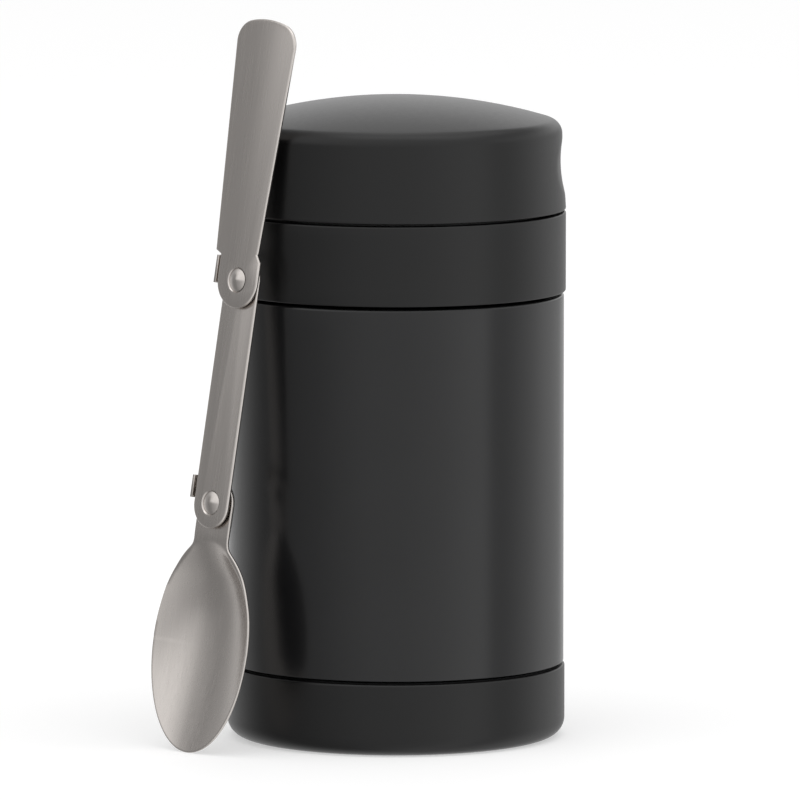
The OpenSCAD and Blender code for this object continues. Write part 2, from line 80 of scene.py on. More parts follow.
MM = 0.001
MERGE = 2e-7  # metres: points nearer than this are one
SLIVER = 1e-8  # metres: edges shorter than this go
SHARP = 32.0  # degrees: steeper edges stay sharp

# the thread between the neck and the screw ring, in millimetres
THREAD_LEAD, THREAD_DEPTH, THREAD_ROOT, THREAD_CREST = 8.0, 1.0, 2.0, 0.9
THREAD_RISE = 6.0  # from the shoulder to the middle of a neck ridge's lower end
THREAD_PLAY = 0.3  # between a neck ridge and a ring ridge

# the cover's catch, in millimetres
CATCH_DOWN = 2.0  # how far its tongue hangs below the cover's edge
CATCH_WALL = 1.0  # what is left of the ring outside its notch

# the spoon's small steps, in millimetres
SHOULDER = 0.8  # from the notch up to where the handle widens
NOTCH_DROP = 1.4  # from the top of the handle's end arc down to the notch
TAB_CLEAR = 0.4  # between the notch and the link's tab
TAB_REACH = 0.2  # how far the link's tab stands in front of the handle
HOLE_PLAY = 0.06  # round a rivet's shank
SEAT = 0.3  # width and depth of the seat round a rivet's head
HEAD_DOWN, HEAD_CLEAR = 0.25, 0.12  # a head's edge in its seat: below the face, and off the side

# for the camera the floor glows: the glow's share of what it sees, and its strength
GLOW_SHARE, GLOW = 0.30, 1.56


# ---------- places that come from the frame ----------


def corner(node):
    """Lowest and highest corner of a CAD node, in millimetres."""
    low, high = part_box(node)
    return np.array(low) / MM, np.array(high) / MM


def extent(node, end, axis):
    """One coordinate (metres) of a CAD node's lowest corner, end 0, or its highest, end 1."""
    return float(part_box(node)[end][axis])


def joint(name):
    """Place (metres) and unit axis of a joint of the frame."""
    found = next(j for j in frame["joints"] if j["name"] == name)
    axis = np.array(found["axis"], float)
    return np.array(found["pos_m"], float), axis / np.linalg.norm(axis)


RIVET_LOW, FACE = joint("bowl_fold")
RIVET_HIGH = joint("handle_fold")[0]
SPAN = float(np.linalg.norm(RIVET_HIGH - RIVET_LOW)) / MM  # between the rivets, in millimetres
SPOON_UP = (RIVET_HIGH - RIVET_LOW) / np.linalg.norm(RIVET_HIGH - RIVET_LOW)
SPOON_BACK = -FACE
SPOON_RIGHT = np.cross(SPOON_BACK, SPOON_UP)
HINGE_X, _, HINGE_Z = joint("cover_hinge")[0] / MM


# ---------- sizes and colours ----------


def length(name, description, default):
    """A length in metres that the sidebar shows in the scene's unit."""
    return FloatProperty(name=name, description=description, default=default, min=0.0,
                         precision=5, unit="LENGTH")


def colour(name, description, default):
    """A colour in linear light."""
    return FloatVectorProperty(name=name, description=description, default=default, size=3,
                               min=0.0, max=1.0, subtype="COLOR")


def roughness(name, default):
    """How rough a finish is, from mirror to chalk."""
    return FloatProperty(name=name, description="Roughness of this finish", default=default,
                         min=0.0, max=1.0, subtype="FACTOR")


class JAR_PG_body(PropertyGroup):
    """Sizes of the jar's body."""

    body_r: length("Body radius", "Outside radius of the steel body", extent("outer_shell", 1, 0))
    body_top: length("Shoulder height", "Height of the shoulder above the base", 0.1192)
    shoulder_r: length("Shoulder rounding", "Rounding of the shoulder's outer edge", 0.0008)
    shell_t: length("Shell thickness", "Sheet thickness of the outer shell", 0.0006)
    neck_r: length("Neck radius", "Outside radius of the neck", extent("inner_liner", 1, 0))
    mouth_z: length("Mouth height", "Height of the neck's top", extent("outer_shell", 1, 2))
    foot_z: length("Foot height", "Height of the steel foot", extent("outer_shell", 0, 2))
    liner_r: length("Food space radius", "Inside radius of the food space", 0.0385)
    liner_t: length("Liner thickness", "Sheet thickness of the liner", 0.0005)
    liner_floor: length("Food space floor", "Height of the floor of the food space", 0.017)
    cup_r: length("Base cup radius", "Outside radius of the base cup", extent("base_cup", 1, 0))
    cup_h: length("Base cup height", "Height of the base cup", extent("base_cup", 1, 2))
    cup_corner_r: length("Base corner", "Rounding of the base's lower corner", 0.005)
    cup_t: length("Base wall", "Wall thickness of the base cup", 0.0016)
    cup_floor_t: length("Base floor", "Floor thickness of the base cup", 0.0024)
    seam: length("Base seam", "Open seam above the base cup", 0.0006)


class JAR_PG_lid(PropertyGroup):
    """Sizes of the lid and its cover."""

    ring_r: length("Ring radius", "Outside radius of the screw ring", 0.0455)
    ring_z0: length("Ring bottom", "Height of the ring's lower edge", extent("screw_ring", 0, 2))
    ring_h: length("Ring height", "Height of the screw ring", 0.0213)
    ring_bore_r: length("Skirt radius", "Inside radius of the ring's skirt", 0.0418)
    rim_bore_r: length("Rim radius", "Inside radius of the rim above the deck", 0.0426)
    rim_h: length("Rim height", "Height of the rim above the deck", 0.0025)
    deck_t: length("Deck thickness", "Thickness of the deck", 0.0022)
    deck_hole_r: length("Deck hole", "Radius of the hole in the deck", 0.036)
    cover_z0: length("Cover bottom", "Height of the cover's lower edge", 0.1418)
    cover_z1: length("Cover top", "Height of the cover's top", extent("cover", 1, 2))
    cover_t: length("Cover wall", "Wall thickness of the cover", 0.0022)
    cover_taper: length("Cover draw", "How far the side draws in", 0.001)
    cover_corner_r: length("Cover corner", "Rounding of the cover's top corner", 0.0041)
    dome_r: length("Dome radius", "Radius of the cover's dome", 0.145)
    scoop_z: length("Scoop height", "Height of the finger scoop above the lower edge", 0.0131)
    scoop_depth: length("Scoop depth", "Depth of the finger scoop", 0.0008)
    scoop_r: length("Scoop radius", "Radius of the scoop, up and down", 0.033)
    scoop_face_r: length("Scoop face", "Radius of the scoop, round the cover", 0.079)
    knuckle_r: length("Knuckle radius", "Radius of the hinge knuckles", 0.002)
    mid_knuckle_l: length("Middle knuckle", "Length of the cover's knuckle", 0.009)
    end_knuckle_l: length("Outer knuckle", "Length of each of the ring's knuckles", 0.0042)
    gap: length("Lid gap", "Clearance between moving faces of the lid", 0.0004)
    catch_w: length("Catch width", "Width of the catch tongue", 0.012)
    catch_t: length("Catch thickness", "Thickness of the catch tongue", 0.0011)


class JAR_PG_spoon(PropertyGroup):
    """Sizes of the folding spoon."""

    plate_t: length("Plate thickness", "Sheet thickness of the handle and the link", 0.0011)
    plate_gap: length("Plate gap", "Gap between neighbouring plates", 0.0007)
    edge_r: length("Edge rounding", "Rounding of the plates' edges", 0.00045)
    link_w: length("Link width", "Width of the link", 0.0128)
    link_over: length("Link end", "How far the end arcs' centres lie beyond the rivets", 0.0004)
    handle_l: length("Handle length", "Length of the handle above its rivet", 0.0694)
    handle_low_w: length("Handle lower width", "Width just above the shoulders", 0.0158)
    handle_top_w: length("Handle top width", "Width at the top", 0.022)
    handle_shift: length("Handle shift", "Shift of the handle's middle to the left", 0.0016)
    handle_end_r: length("Handle end", "Radius of the handle's lower end", 0.0075)
    handle_corner_r: length("Handle corners", "Radius of the top corners", 0.006)
    handle_crown_r: length("Handle crown", "Radius of the curved top edge", 0.026)
    bowl_l: length("Bowl length", "Length of the bowl", 0.0568)
    bowl_w: length("Bowl width", "Width of the bowl", 0.0358)
    bowl_reach: length("Bowl reach", "Distance from the rivet to the tip", 0.0669)
    bowl_depth: length("Bowl depth", "Hollow of the bowl below its rim", 0.0044)
    bowl_step: length("Bowl step", "Step from the tang to the rim", 0.0013)
    bowl_t: length("Bowl thickness", "Sheet thickness of the bowl", 0.0008)
    tab_h: length("Tang tab height", "Height of the stop tab on the bowl's tang", 0.006)
    link_tab_h: length("Link tab height", "Height of the stop tab on the link", 0.0074)
    tab_t: length("Tab thickness", "Thickness of the stop tabs", 0.0008)
    rivet_r: length("Rivet shank", "Radius of the rivets' shanks", 0.002)
    rivet_head_r: length("Rivet head", "Radius of the rivets' heads", 0.0031)
    handle_head_h: length("Upper head", "Height of the handle rivet's front head", 0.0006)
    low_head_h: length("Low heads", "Height of the other heads", 0.0005)
    washer_r: length("Washer radius", "Outside radius of the washers", 0.0042)
    end_play: length("End play", "Play between stacked pieces", 0.0001)
    fold_gap: length("Fold gap", "Clearance of the folding ends and tabs", 0.0002)


class JAR_PG_finish(PropertyGroup):
    """Colours and finishes."""

    paint: colour("Body paint", "Black paint of the body", (0.0058, 0.0059, 0.0064))
    paint_rough: roughness("Paint roughness", 0.24)
    base_plastic: colour("Base plastic", "Black plastic of the base cup", (0.0026, 0.0026, 0.0028))
    lid_plastic: colour("Ring plastic", "Black plastic of the screw ring", (0.0026, 0.0026, 0.0028))
    cover_plastic: colour("Cover plastic", "Black plastic of the cover", (0.0026, 0.0026, 0.0028))
    plastic_rough: roughness("Plastic roughness", 0.36)
    stopper_plastic: colour("Stopper plastic", "Dark grey plastic of the stopper", (0.030, 0.031, 0.033))
    foam: colour("Foam", "Ivory foam in the stopper", (0.74, 0.70, 0.60))
    rubber: colour("Seal rubber", "Pale rubber of the seal", (0.60, 0.60, 0.57))
    spoon_steel: colour("Spoon steel", "Brushed steel of the spoon", (0.64, 0.60, 0.57))
    spoon_rough: roughness("Spoon roughness", 0.25)
    liner_steel: colour("Liner steel", "Steel of the liner", (0.62, 0.61, 0.59))
    pin_steel: colour("Pin steel", "Steel of the hinge pin", (0.56, 0.56, 0.55))


class JAR_PG_studio(PropertyGroup):
    """Camera and light."""

    distance: length("Camera distance", "From the camera to the point it turns about", 2.9361)
    aim_x: FloatProperty(name="Aim sideways", description="Sideways place of the camera",
                         default=0.001100, unit="LENGTH", precision=5)
    aim_z: length("Aim height", "Height of the point the camera looks at", 0.09024)
    tilt: FloatProperty(name="Camera tilt", description="Angle the camera looks down",
                        default=math.radians(6.5138), subtype="ANGLE")
    lens: FloatProperty(name="Focal length", description="Focal length in millimetres",
                        default=493.1, min=1.0, max=2000.0)
    room: FloatProperty(name="Room light", description="Level of the light tent round the jar",
                        default=1.0, min=0.0, max=3.0)
    top_power: FloatProperty(name="Top lamp", description="Power of the lamp overhead, in watts",
                             default=9.0, min=0.0, max=200.0)


def settings_of(group):
    """The names of a property group's own settings."""
    return [key for key in group.bl_rna.properties.keys() if key not in ("rna_type", "name")]


def mm(group):
    """The lengths of a property group as a dictionary in millimetres."""
    return {key: getattr(group, key) / MM for key in settings_of(group)}


# ---------- shapes, in millimetres ----------


def rounded(corners, radii, steps=6, closed=True):
    """An outline whose corners are arcs: each arc is tangent to both sides, so its centre lies on
    the corner's bisector at radius / sin(half the corner's angle)."""
    corners = np.array(corners, float)
    count = len(corners)
    out = []
    for i, (point, radius) in enumerate(zip(corners, radii)):
        if radius <= 0 or (not closed and i in (0, count - 1)):
            out.append(point[None])
            continue
        a, b = corners[i - 1] - point, corners[(i + 1) % count] - point
        a, b = a / np.linalg.norm(a), b / np.linalg.norm(b)
        half = math.acos(max(-1.0, min(1.0, float(a @ b)))) / 2
        middle = point + (a + b) / np.linalg.norm(a + b) * radius / math.sin(half)
        start, end = point + a * radius / math.tan(half), point + b * radius / math.tan(half)
        a0 = math.atan2(*(start - middle)[::-1])
        turn = (math.atan2(*(end - middle)[::-1]) - a0 + math.pi) % (2 * math.pi) - math.pi
        angles = a0 + turn * np.linspace(0, 1, steps + 1)
        out.append(middle + radius * np.stack([np.cos(angles), np.sin(angles)], -1))
    return np.concatenate(out)


def finer(profile, step, closed=False):
    """A profile with extra points on its long sides, at equal spaces of at most step."""
    ends = np.roll(profile, -1, 0) if closed else profile[1:]
    out = []
    for a, b in zip(profile, ends):
        n = max(1, math.ceil(np.linalg.norm(b - a) / step))
        out.append(a + (b - a) * (np.arange(n) / n)[:, None])
    if not closed:
        out.append(profile[-1:])
    return np.concatenate(out)


def quads(rows, cols, wrap_rows=False):
    """The four-sided faces of a grid of rows x cols points. Each row's ends join, and the last row
    joins the first where the rows wrap."""
    i, j = np.meshgrid(np.arange(rows if wrap_rows else rows - 1), np.arange(cols), indexing="ij")
    up, on = (i + 1) % rows, (j + 1) % cols
    return np.stack([i * cols + j, i * cols + on, up * cols + on, up * cols + j], -1).reshape(-1, 4)


def turned(profile, closed=True, segments=240):
    """A profile (radius, height) carried round the Z axis: x = r cos a, y = r sin a, z = h."""
    profile = np.asarray(profile, float)
    a = np.linspace(0, 2 * np.pi, segments, endpoint=False)
    r, z = profile[:, :1], np.repeat(profile[:, 1:2], segments, 1)
    points = np.stack([r * np.cos(a), r * np.sin(a), z], -1)
    return points.reshape(-1, 3), quads(len(profile), segments, closed)


def helix(radius, out, z0, angle, phase):
    """A thread ridge: a trapezoid carried up a helix, z = z0 + lead * a / 360. Its depth swells
    from nothing at one end and dies away at the other, where the section shrinks to a point."""
    sunk, ends = 0.15, 0.06
    s = np.linspace(0, 1, max(24, int(angle / 2)))
    a = np.radians(phase + angle * s)
    swell = np.clip(np.minimum(s, 1 - s) / ends, 0, 1)
    swell = (swell * swell * (3 - 2 * swell))[:, None]
    root = np.full((len(s), 1), radius - out * sunk)
    crest = radius + out * (THREAD_DEPTH * swell - sunk * (1 - swell))
    half = np.array([-THREAD_ROOT, -THREAD_CREST, THREAD_CREST, THREAD_ROOT]) / 2 * swell
    r = np.concatenate([root, crest, crest, root], 1)
    z = z0 + THREAD_LEAD * angle * s[:, None] / 360 + half
    points = np.stack([r * np.cos(a)[:, None], r * np.sin(a)[:, None], z], -1)
    return points.reshape(-1, 3), quads(len(s), 4)


def ridges(radius, out, z0, angle):
    """The thread's two ridges, half a turn apart."""
    return [helix(radius, out, z0, angle, phase) for phase in (0, 180)]


def slab(outline, height, edge, steps=4):
    """A flat plate with rounded edges: the outline, drawn in by edge * (1 - sin t), is carried up by
    edge * (1 - cos t) for t from 0 to a right angle, and the same back at the top. The two flat
    faces are single polygons. Points come as (outline's two axes, height)."""
    ahead = np.roll(outline, -1, 0) - np.roll(outline, 1, 0)
    normal = np.stack([ahead[:, 1], -ahead[:, 0]], -1)
    normal /= np.maximum(np.linalg.norm(normal, axis=1, keepdims=True), 1e-9)
    following = np.roll(outline, -1, 0)
    if np.sum(outline[:, 0] * following[:, 1] - following[:, 0] * outline[:, 1]) < 0:
        normal = -normal
    t = np.linspace(0, np.pi / 2, steps + 1)
    inset = np.concatenate([edge * (1 - np.sin(t)), edge * (1 - np.sin(t[::-1]))])
    rise = np.concatenate([edge * (1 - np.cos(t)), height - edge * (1 - np.cos(t[::-1]))])
    flat = outline[None] - normal[None] * inset[:, None, None]
    points = np.concatenate([flat, np.broadcast_to(rise[:, None, None], flat.shape[:2] + (1,))], -1)
    n, rows = len(outline), len(inset)
    faces = quads(rows, n).tolist()
    faces += [list(range(n))[::-1], list(range((rows - 1) * n, rows * n))]
    return points.reshape(-1, 3), faces


def block(low, high, edge=0.15):
    """A box with rounded upright edges and softened ends."""
    x0, y0, z0 = low
    x1, y1, z1 = high
    outline = rounded([[x0, y0], [x1, y0], [x1, y1], [x0, y1]], [edge * 1.5] * 4, 3)
    points, faces = slab(outline, z1 - z0, edge, 2)
    return points + [0, 0, z0], faces


def upright(points):
    """Points with their second and third axes exchanged, which stands a flat shape up."""
    return points[:, [0, 2, 1]]


def rod(radius, length_, edge, centre, segments=48):
    """A rod along Y with rounded ends, as a turned profile laid over."""
    half = length_ / 2
    profile = rounded([[0, -half], [radius, -half], [radius, half], [0, half]],
                      [0, edge, edge, 0], 4, closed=False)
    points, faces = turned(profile, False, segments)
    return upright(points) * [1, 1, -1] + centre, faces


def on_spoon(points):
    """Points from the spoon's own axes (right, back, up from the lower rivet) into the frame."""
    axes = np.stack([SPOON_RIGHT, SPOON_BACK, SPOON_UP])
    return points @ axes + RIVET_LOW / MM


# ---------- meshes ----------


def make_object(name, parts, sharp=SHARP):
    """One mesh object from several (points in mm, faces) parts, with doubles at seams and poles
    merged, faces turned outwards, and edges sharper than the angle kept sharp."""
    points, faces, start = [], [], 0
    for part_points, part_faces in parts:
        points.append(np.asarray(part_points, float) * MM)
        faces += [[int(v) + start for v in face] for face in part_faces]
        start += len(part_points)
    mesh = bpy.data.meshes.new(name)
    mesh.from_pydata(np.concatenate(points).tolist(), [], faces)
    work = bmesh.new()
    work.from_mesh(mesh)
    bmesh.ops.remove_doubles(work, verts=work.verts, dist=MERGE)
    bmesh.ops.dissolve_degenerate(work, edges=work.edges, dist=SLIVER)
    bmesh.ops.recalc_face_normals(work, faces=work.faces)
    work.to_mesh(mesh)
    work.free()
    finish_mesh(mesh, sharp)
    thing = bpy.data.objects.new(name, mesh)
    bpy.context.scene.collection.objects.link(thing)
    return thing


def finish_mesh(mesh, sharp):
    """Smooth faces with sharp edges above an angle in degrees."""
    mesh.polygons.foreach_set("use_smooth", np.ones(len(mesh.polygons), bool))
    mesh.set_sharp_from_angle(angle=math.radians(sharp))
    mesh.update()


def cut(thing, parts, sharp=SHARP):
    """Takes closed parts out of an object for good."""
    tool = make_object(thing.name + "_tool", parts)
    modifier = thing.modifiers.new("cut", "BOOLEAN")
    modifier.operation, modifier.solver, modifier.object = "DIFFERENCE", "EXACT", tool
    graph = bpy.context.evaluated_depsgraph_get()
    mesh = bpy.data.meshes.new_from_object(thing.evaluated_get(graph))
    thing.modifiers.clear()
    before = len(thing.data.polygons)
    thing.data = mesh
    bpy.data.objects.remove(tool)
    if len(mesh.polygons) == 0 or len(mesh.polygons) == before:
        raise RuntimeError(f"the cut in {thing.name} took nothing or everything")
    finish_mesh(mesh, sharp)


def settle(thing, body, nodes, finish):
    """Gives a piece its finish and its body, and hides the CAD nodes that it stands for."""
    thing.data.materials.clear()
    thing.data.materials.append(finish)
    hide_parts(*nodes)
    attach(thing, body)


# ---------- finishes ----------


class Nodes:
    """The node tree of a material or a world, under construction."""

    def __init__(self, owner):
        owner.use_nodes = True
        self.tree = owner.node_tree

    def feed(self, socket, value):
        """Gives an input a value, or links it to the output that feeds it."""
        if isinstance(value, bpy.types.NodeSocket):
            self.tree.links.new(value, socket)
        else:
            socket.default_value = value

    def node(self, kind, inputs=None, **settings):
        """A new node with its settings and its inputs."""
        made = self.tree.nodes.new(kind)
        for key, value in settings.items():
            setattr(made, key, value)
        for key, value in (inputs or {}).items():
            self.feed(made.inputs[key], value)
        return made


class Finish(Nodes):
    """A procedural finish: its shader takes patterns that read the place on the piece."""

    LOW, HIGH = 0.3, 0.7  # nearly all of a noise lies between these

    def __init__(self, name, base, rough, metal=0.0, specular=0.5):
        self.material = bpy.data.materials.new(name)
        super().__init__(self.material)
        self.shader = next(n for n in self.tree.nodes if n.type == "BSDF_PRINCIPLED").inputs
        for key, value in (("Base Color", (*base, 1.0)), ("Roughness", rough), ("Metallic", metal),
                           ("Specular IOR Level", specular)):
            self.feed(self.shader[key], value)
        self.base, self.rough = base, rough
        self.place = self.node("ShaderNodeTexCoord").outputs["Object"]

    def noise(self, vector, scale, detail=3.0, rough=0.5):
        """A noise; its scale is in cells per metre where the vector is a place."""
        return self.node("ShaderNodeTexNoise", {"Vector": vector, "Scale": scale, "Detail": detail,
                                                "Roughness": rough}).outputs["Fac"]

    def along(self, axes, factors):
        """The place measured along three axes of the piece, each scaled."""
        parts = [self.node("ShaderNodeVectorMath", {0: self.place, 1: [float(c) * factor for c in axis]},
                           operation="DOT_PRODUCT").outputs["Value"]
                 for axis, factor in zip(axes, factors)]
        return self.node("ShaderNodeCombineXYZ", dict(enumerate(parts))).outputs["Vector"]

    def vary_rough(self, value, amount):
        """Lets a noise move the roughness by an amount either way."""
        made = self.node("ShaderNodeMapRange", {
            "Value": value, "From Min": self.LOW, "From Max": self.HIGH,
            "To Min": self.rough - amount, "To Max": self.rough + amount})
        self.feed(self.shader["Roughness"], made.outputs["Result"])

    def vary_colour(self, value, darker, lighter):
        """Lets a noise move the colour between two shares of itself."""
        made = self.node("ShaderNodeValToRGB", {"Fac": value})
        stops = zip(made.color_ramp.elements, (self.LOW, self.HIGH), (darker, lighter))
        for element, position, share in stops:
            element.position = position
            element.color = (*[c * share for c in self.base], 1.0)
        self.feed(self.shader["Base Color"], made.outputs["Color"])

    def bump(self, value, depth_mm, strength):
        """Lets a noise raise the surface, by a depth at most."""
        made = self.node("ShaderNodeBump", {"Height": value, "Distance": depth_mm * MM,
                                            "Strength": strength})
        self.feed(self.shader["Normal"], made.outputs["Normal"])


def moulded(name, base, rough, specular=0.5, grain=2600.0, depth=0.010):
    """Moulded plastic: a fine spark-eroded grain, faint flow clouds and slight wear in the gloss."""
    made = Finish(name, base, rough, specular=specular)
    made.vary_colour(made.noise(made.place, 60.0, 3.0, 0.55), 0.92, 1.08)
    made.vary_rough(made.noise(made.place, 700.0, 3.0, 0.6), 0.012)
    made.bump(made.noise(made.place, grain, 2.0, 0.6), depth, 0.5)
    return made.material


def painted(name, base, rough):
    """Black baked paint over steel: an even gloss with a very shallow orange peel and fine dust."""
    made = Finish(name, base, rough)
    made.vary_colour(made.noise(made.place, 45.0, 2.0), 0.9, 1.1)
    made.vary_rough(made.noise(made.place, 2400.0, 2.0, 0.7), 0.025)
    made.bump(made.noise(made.place, 420.0, 2.0, 0.45), 0.0016, 0.6)
    return made.material


def brushed(name, base, rough, axes, depth=0.0016, vary=0.07, shade=0.05):
    """Sheet steel brushed one way: noise drawn out about fifty times along the brushing, in the
    gloss, the colour and a very fine bump."""
    made = Finish(name, base, rough, 1.0)
    streaks = made.noise(made.along(axes, (2600.0, 2600.0, 45.0)), 1.0, 3.0, 0.6)
    bands = made.noise(made.along(axes, (500.0, 500.0, 12.0)), 1.0, 3.0, 0.6)
    made.vary_colour(bands, 1 - shade, 1 + shade)
    made.vary_rough(streaks, vary)
    made.bump(streaks, depth, 0.6)
    return made.material


def spun(name, base, rough):
    """Steel finished on a lathe: fine lines round the axis, because the noise reads the height and
    the distance from the axis and not the angle."""
    made = Finish(name, base, rough, 1.0)
    height = made.node("ShaderNodeSeparateXYZ", {"Vector": made.place}).outputs["Z"]
    flat = made.node("ShaderNodeVectorMath", {0: made.place, 1: (1.0, 1.0, 0.0)}, operation="MULTIPLY")
    away = made.node("ShaderNodeVectorMath", {0: flat.outputs["Vector"]}, operation="LENGTH")
    joined = made.node("ShaderNodeCombineXYZ", {"X": away.outputs["Value"], "Y": height})
    lines = made.noise(joined.outputs["Vector"], 2800.0, 3.0, 0.6)
    made.vary_rough(lines, 0.08)
    made.vary_colour(made.noise(made.place, 30.0), 0.94, 1.06)
    made.bump(lines, 0.0015, 0.5)
    return made.material


def soft(name, base, rough, cell=900.0, depth=0.05):
    """Rubber or foam: small closed cells as a bump, and a faint mottle."""
    made = Finish(name, base, rough, specular=0.3)
    cells = made.noise(made.place, cell, 3.0, 0.6)
    made.vary_colour(made.noise(made.place, 140.0, 3.0), 0.93, 1.05)
    made.vary_rough(cells, 0.05)
    made.bump(cells, depth, 0.6)
    return made.material


# ---------- operators ----------


class JAR_OT_body(Operator):
    """Makes the painted steel body with its shoulder, neck and neck thread"""

    bl_idname = "jar.body"
    bl_label = "Body"

    def execute(self, context):
        s = mm(context.scene.jar_body)
        look = context.scene.jar_finish
        play, slope = 0.1, 0.3  # inside the cup's wall, and half the height of the step above it
        foot = s["body_r"] - s["cup_t"] - play
        step = s["cup_h"] + s["seam"]
        t = s["shell_t"]
        profile = rounded(
            [[foot, s["foot_z"]], [foot, step - slope], [s["body_r"], step + slope],
             [s["body_r"], s["body_top"]], [s["neck_r"], s["body_top"]], [s["neck_r"], s["mouth_z"]],
             [s["neck_r"] - t, s["mouth_z"]], [s["neck_r"] - t, s["body_top"] - t],
             [s["body_r"] - t, s["body_top"] - t], [s["body_r"] - t, step + slope + t],
             [foot - t, step - slope + t], [foot - t, s["foot_z"]]],
            [0, 0.2, 0.3, s["shoulder_r"], 0.5, 0.2, 0.1, 0.3, 0.3, 0.3, 0.2, 0])
        thread = ridges(s["neck_r"], 1, s["body_top"] + THREAD_RISE, 130)
        thing = make_object("body_shell", [turned(finer(profile, 6.0, True)), *thread])
        settle(thing, "jar", ["outer_shell"], painted("body_paint", look.paint, look.paint_rough))
        return {"FINISHED"}


class JAR_OT_liner(Operator):
    """Makes the steel liner and finishes the sealed pieces behind it"""

    bl_idname = "jar.liner"
    bl_label = "Liner"

    def execute(self, context):
        s = mm(context.scene.jar_body)
        look = context.scene.jar_finish
        r, t, z = s["liner_r"], s["liner_t"], s["liner_floor"]
        lip = corner("inner_liner")[1][2]
        profile = rounded(
            [[0, z], [r, z], [r, lip], [s["neck_r"], lip], [s["neck_r"], s["mouth_z"]],
             [r + t, s["mouth_z"]], [r + t, z - t], [0, z - t]],
            [0, 8.0, 0.6, 0.28, 0.28, 0.1, 8.5, 0], 10, closed=False)
        thing = make_object("liner", [turned(finer(profile, 6.0), False)])
        steel = spun("liner_steel", look.liner_steel, 0.26)
        settle(thing, "jar", ["inner_liner"], steel)
        plain = spun("shell_steel", (0.50, 0.50, 0.49), 0.38)
        inner = {
            "outer_base": plain,
            "vacuum_plug": plain,
            "getter": soft("getter_metal", (0.30, 0.30, 0.31), 0.6, 1500.0, 0.03),
            "radiation_foil": brushed("foil", (0.75, 0.42, 0.25), 0.3, np.eye(3), 0.01),
        }
        for node, finish in inner.items():
            mesh = frame["nodes"][node].data
            mesh.materials.clear()
            mesh.materials.append(finish)
        return {"FINISHED"}


class JAR_OT_base_cup(Operator):
    """Makes the black base cup with its rounded lower corner"""

    bl_idname = "jar.base_cup"
    bl_label = "Base cup"

    def execute(self, context):
        s = mm(context.scene.jar_body)
        look = context.scene.jar_finish
        inner = s["body_r"] - s["cup_t"]
        profile = rounded(
            [[0, 0], [s["cup_r"], 0], [s["cup_r"], s["cup_h"]], [inner, s["cup_h"]],
             [inner, s["cup_floor_t"]], [0, s["cup_floor_t"]]],
            [0, s["cup_corner_r"], 0.6, 0.2, s["cup_corner_r"] - s["cup_t"], 0], 12, closed=False)
        thing = make_object("base_cup_shell", [turned(finer(profile, 5.0), False)])
        settle(thing, "jar", ["base_cup"],
               moulded("base_plastic", look.base_plastic, look.plastic_rough, 0.40))
        return {"FINISHED"}


def catch_x(s):
    """How far out the catch tongue's inner face stands."""
    return s["ring_r"] - CATCH_WALL - s["gap"] - s["catch_t"]


class JAR_OT_screw_ring(Operator):
    """Makes the lid's screw ring with its thread, hinge pocket, knuckles and catch notch"""

    bl_idname = "jar.screw_ring"
    bl_label = "Screw ring"

    def execute(self, context):
        s = mm(context.scene.jar_lid)
        look = context.scene.jar_finish
        z0, z1 = s["ring_z0"], s["ring_z0"] + s["ring_h"]
        deck1 = z1 - s["rim_h"]
        deck0 = deck1 - s["deck_t"]
        profile = rounded(
            [[s["ring_r"], z0], [s["ring_r"], z1], [s["rim_bore_r"], z1], [s["rim_bore_r"], deck1],
             [s["deck_hole_r"], deck1], [s["deck_hole_r"], deck0], [s["ring_bore_r"], deck0],
             [s["ring_bore_r"], z0]],
            [0.5, 0.5, 0.3, 0.2, 0.3, 0.3, 0.3, 0.5])
        thing = make_object("ring_shell", [turned(finer(profile, 4.0, True))])
        hx, hz = HINGE_X, HINGE_Z
        clear, pocket = s["gap"] + s["knuckle_r"], s["mid_knuckle_l"] / 2 + s["gap"]
        # the pocket for the cover's arm, the room for its knuckle, and the notch for the catch
        pocket_out, pocket_in, pocket_down, pocket_up, past_rim = 4, 1.3, 1.4, 3.6, 2
        cut(thing, [block([hx - s["knuckle_r"] - pocket_out, -pocket, hz - clear - pocket_down],
                          [hx + pocket_in, pocket, hz + pocket_up])])
        cut(thing, [rod(clear, 2 * pocket, 0.1, [hx, 0, hz])])
        half = s["catch_w"] / 2 + s["gap"]
        cut(thing, [block([s["rim_bore_r"] - past_rim, -half, s["cover_z0"] - CATCH_DOWN - s["gap"]],
                          [s["ring_r"] - CATCH_WALL, half, z1 + 2 * past_rim])])
        plastic = moulded("ring_plastic", look.lid_plastic, look.plastic_rough, 0.42)
        settle(thing, "lid", ["screw_ring"], plastic)
        w, foot_h, sunk_out, sunk_in, overlap = s["end_knuckle_l"] / 2, 5.8, 0.8, 0.4, 0.1
        for side, word in ((-1, "front"), (1, "back")):
            y = side * (pocket - overlap + w)
            knuckle = make_object("ring_knuckle_" + word, [
                rod(s["knuckle_r"], 2 * w, 0.35, [hx, y, hz], 64),
                block([hx - s["knuckle_r"] + sunk_out, y - w, hz - foot_h],
                      [hx + s["knuckle_r"] - sunk_in, y + w, hz], 0.2)])
            settle(knuckle, "lid", ["screw_ring"], plastic)
        thread_z = (context.scene.jar_body.body_top / MM + THREAD_RISE
                    - (THREAD_ROOT + THREAD_CREST) / 2 - THREAD_PLAY)
        settle(make_object("ring_thread", ridges(s["ring_bore_r"], -1, thread_z, 100)), "lid",
               ["screw_ring"], plastic)
        return {"FINISHED"}


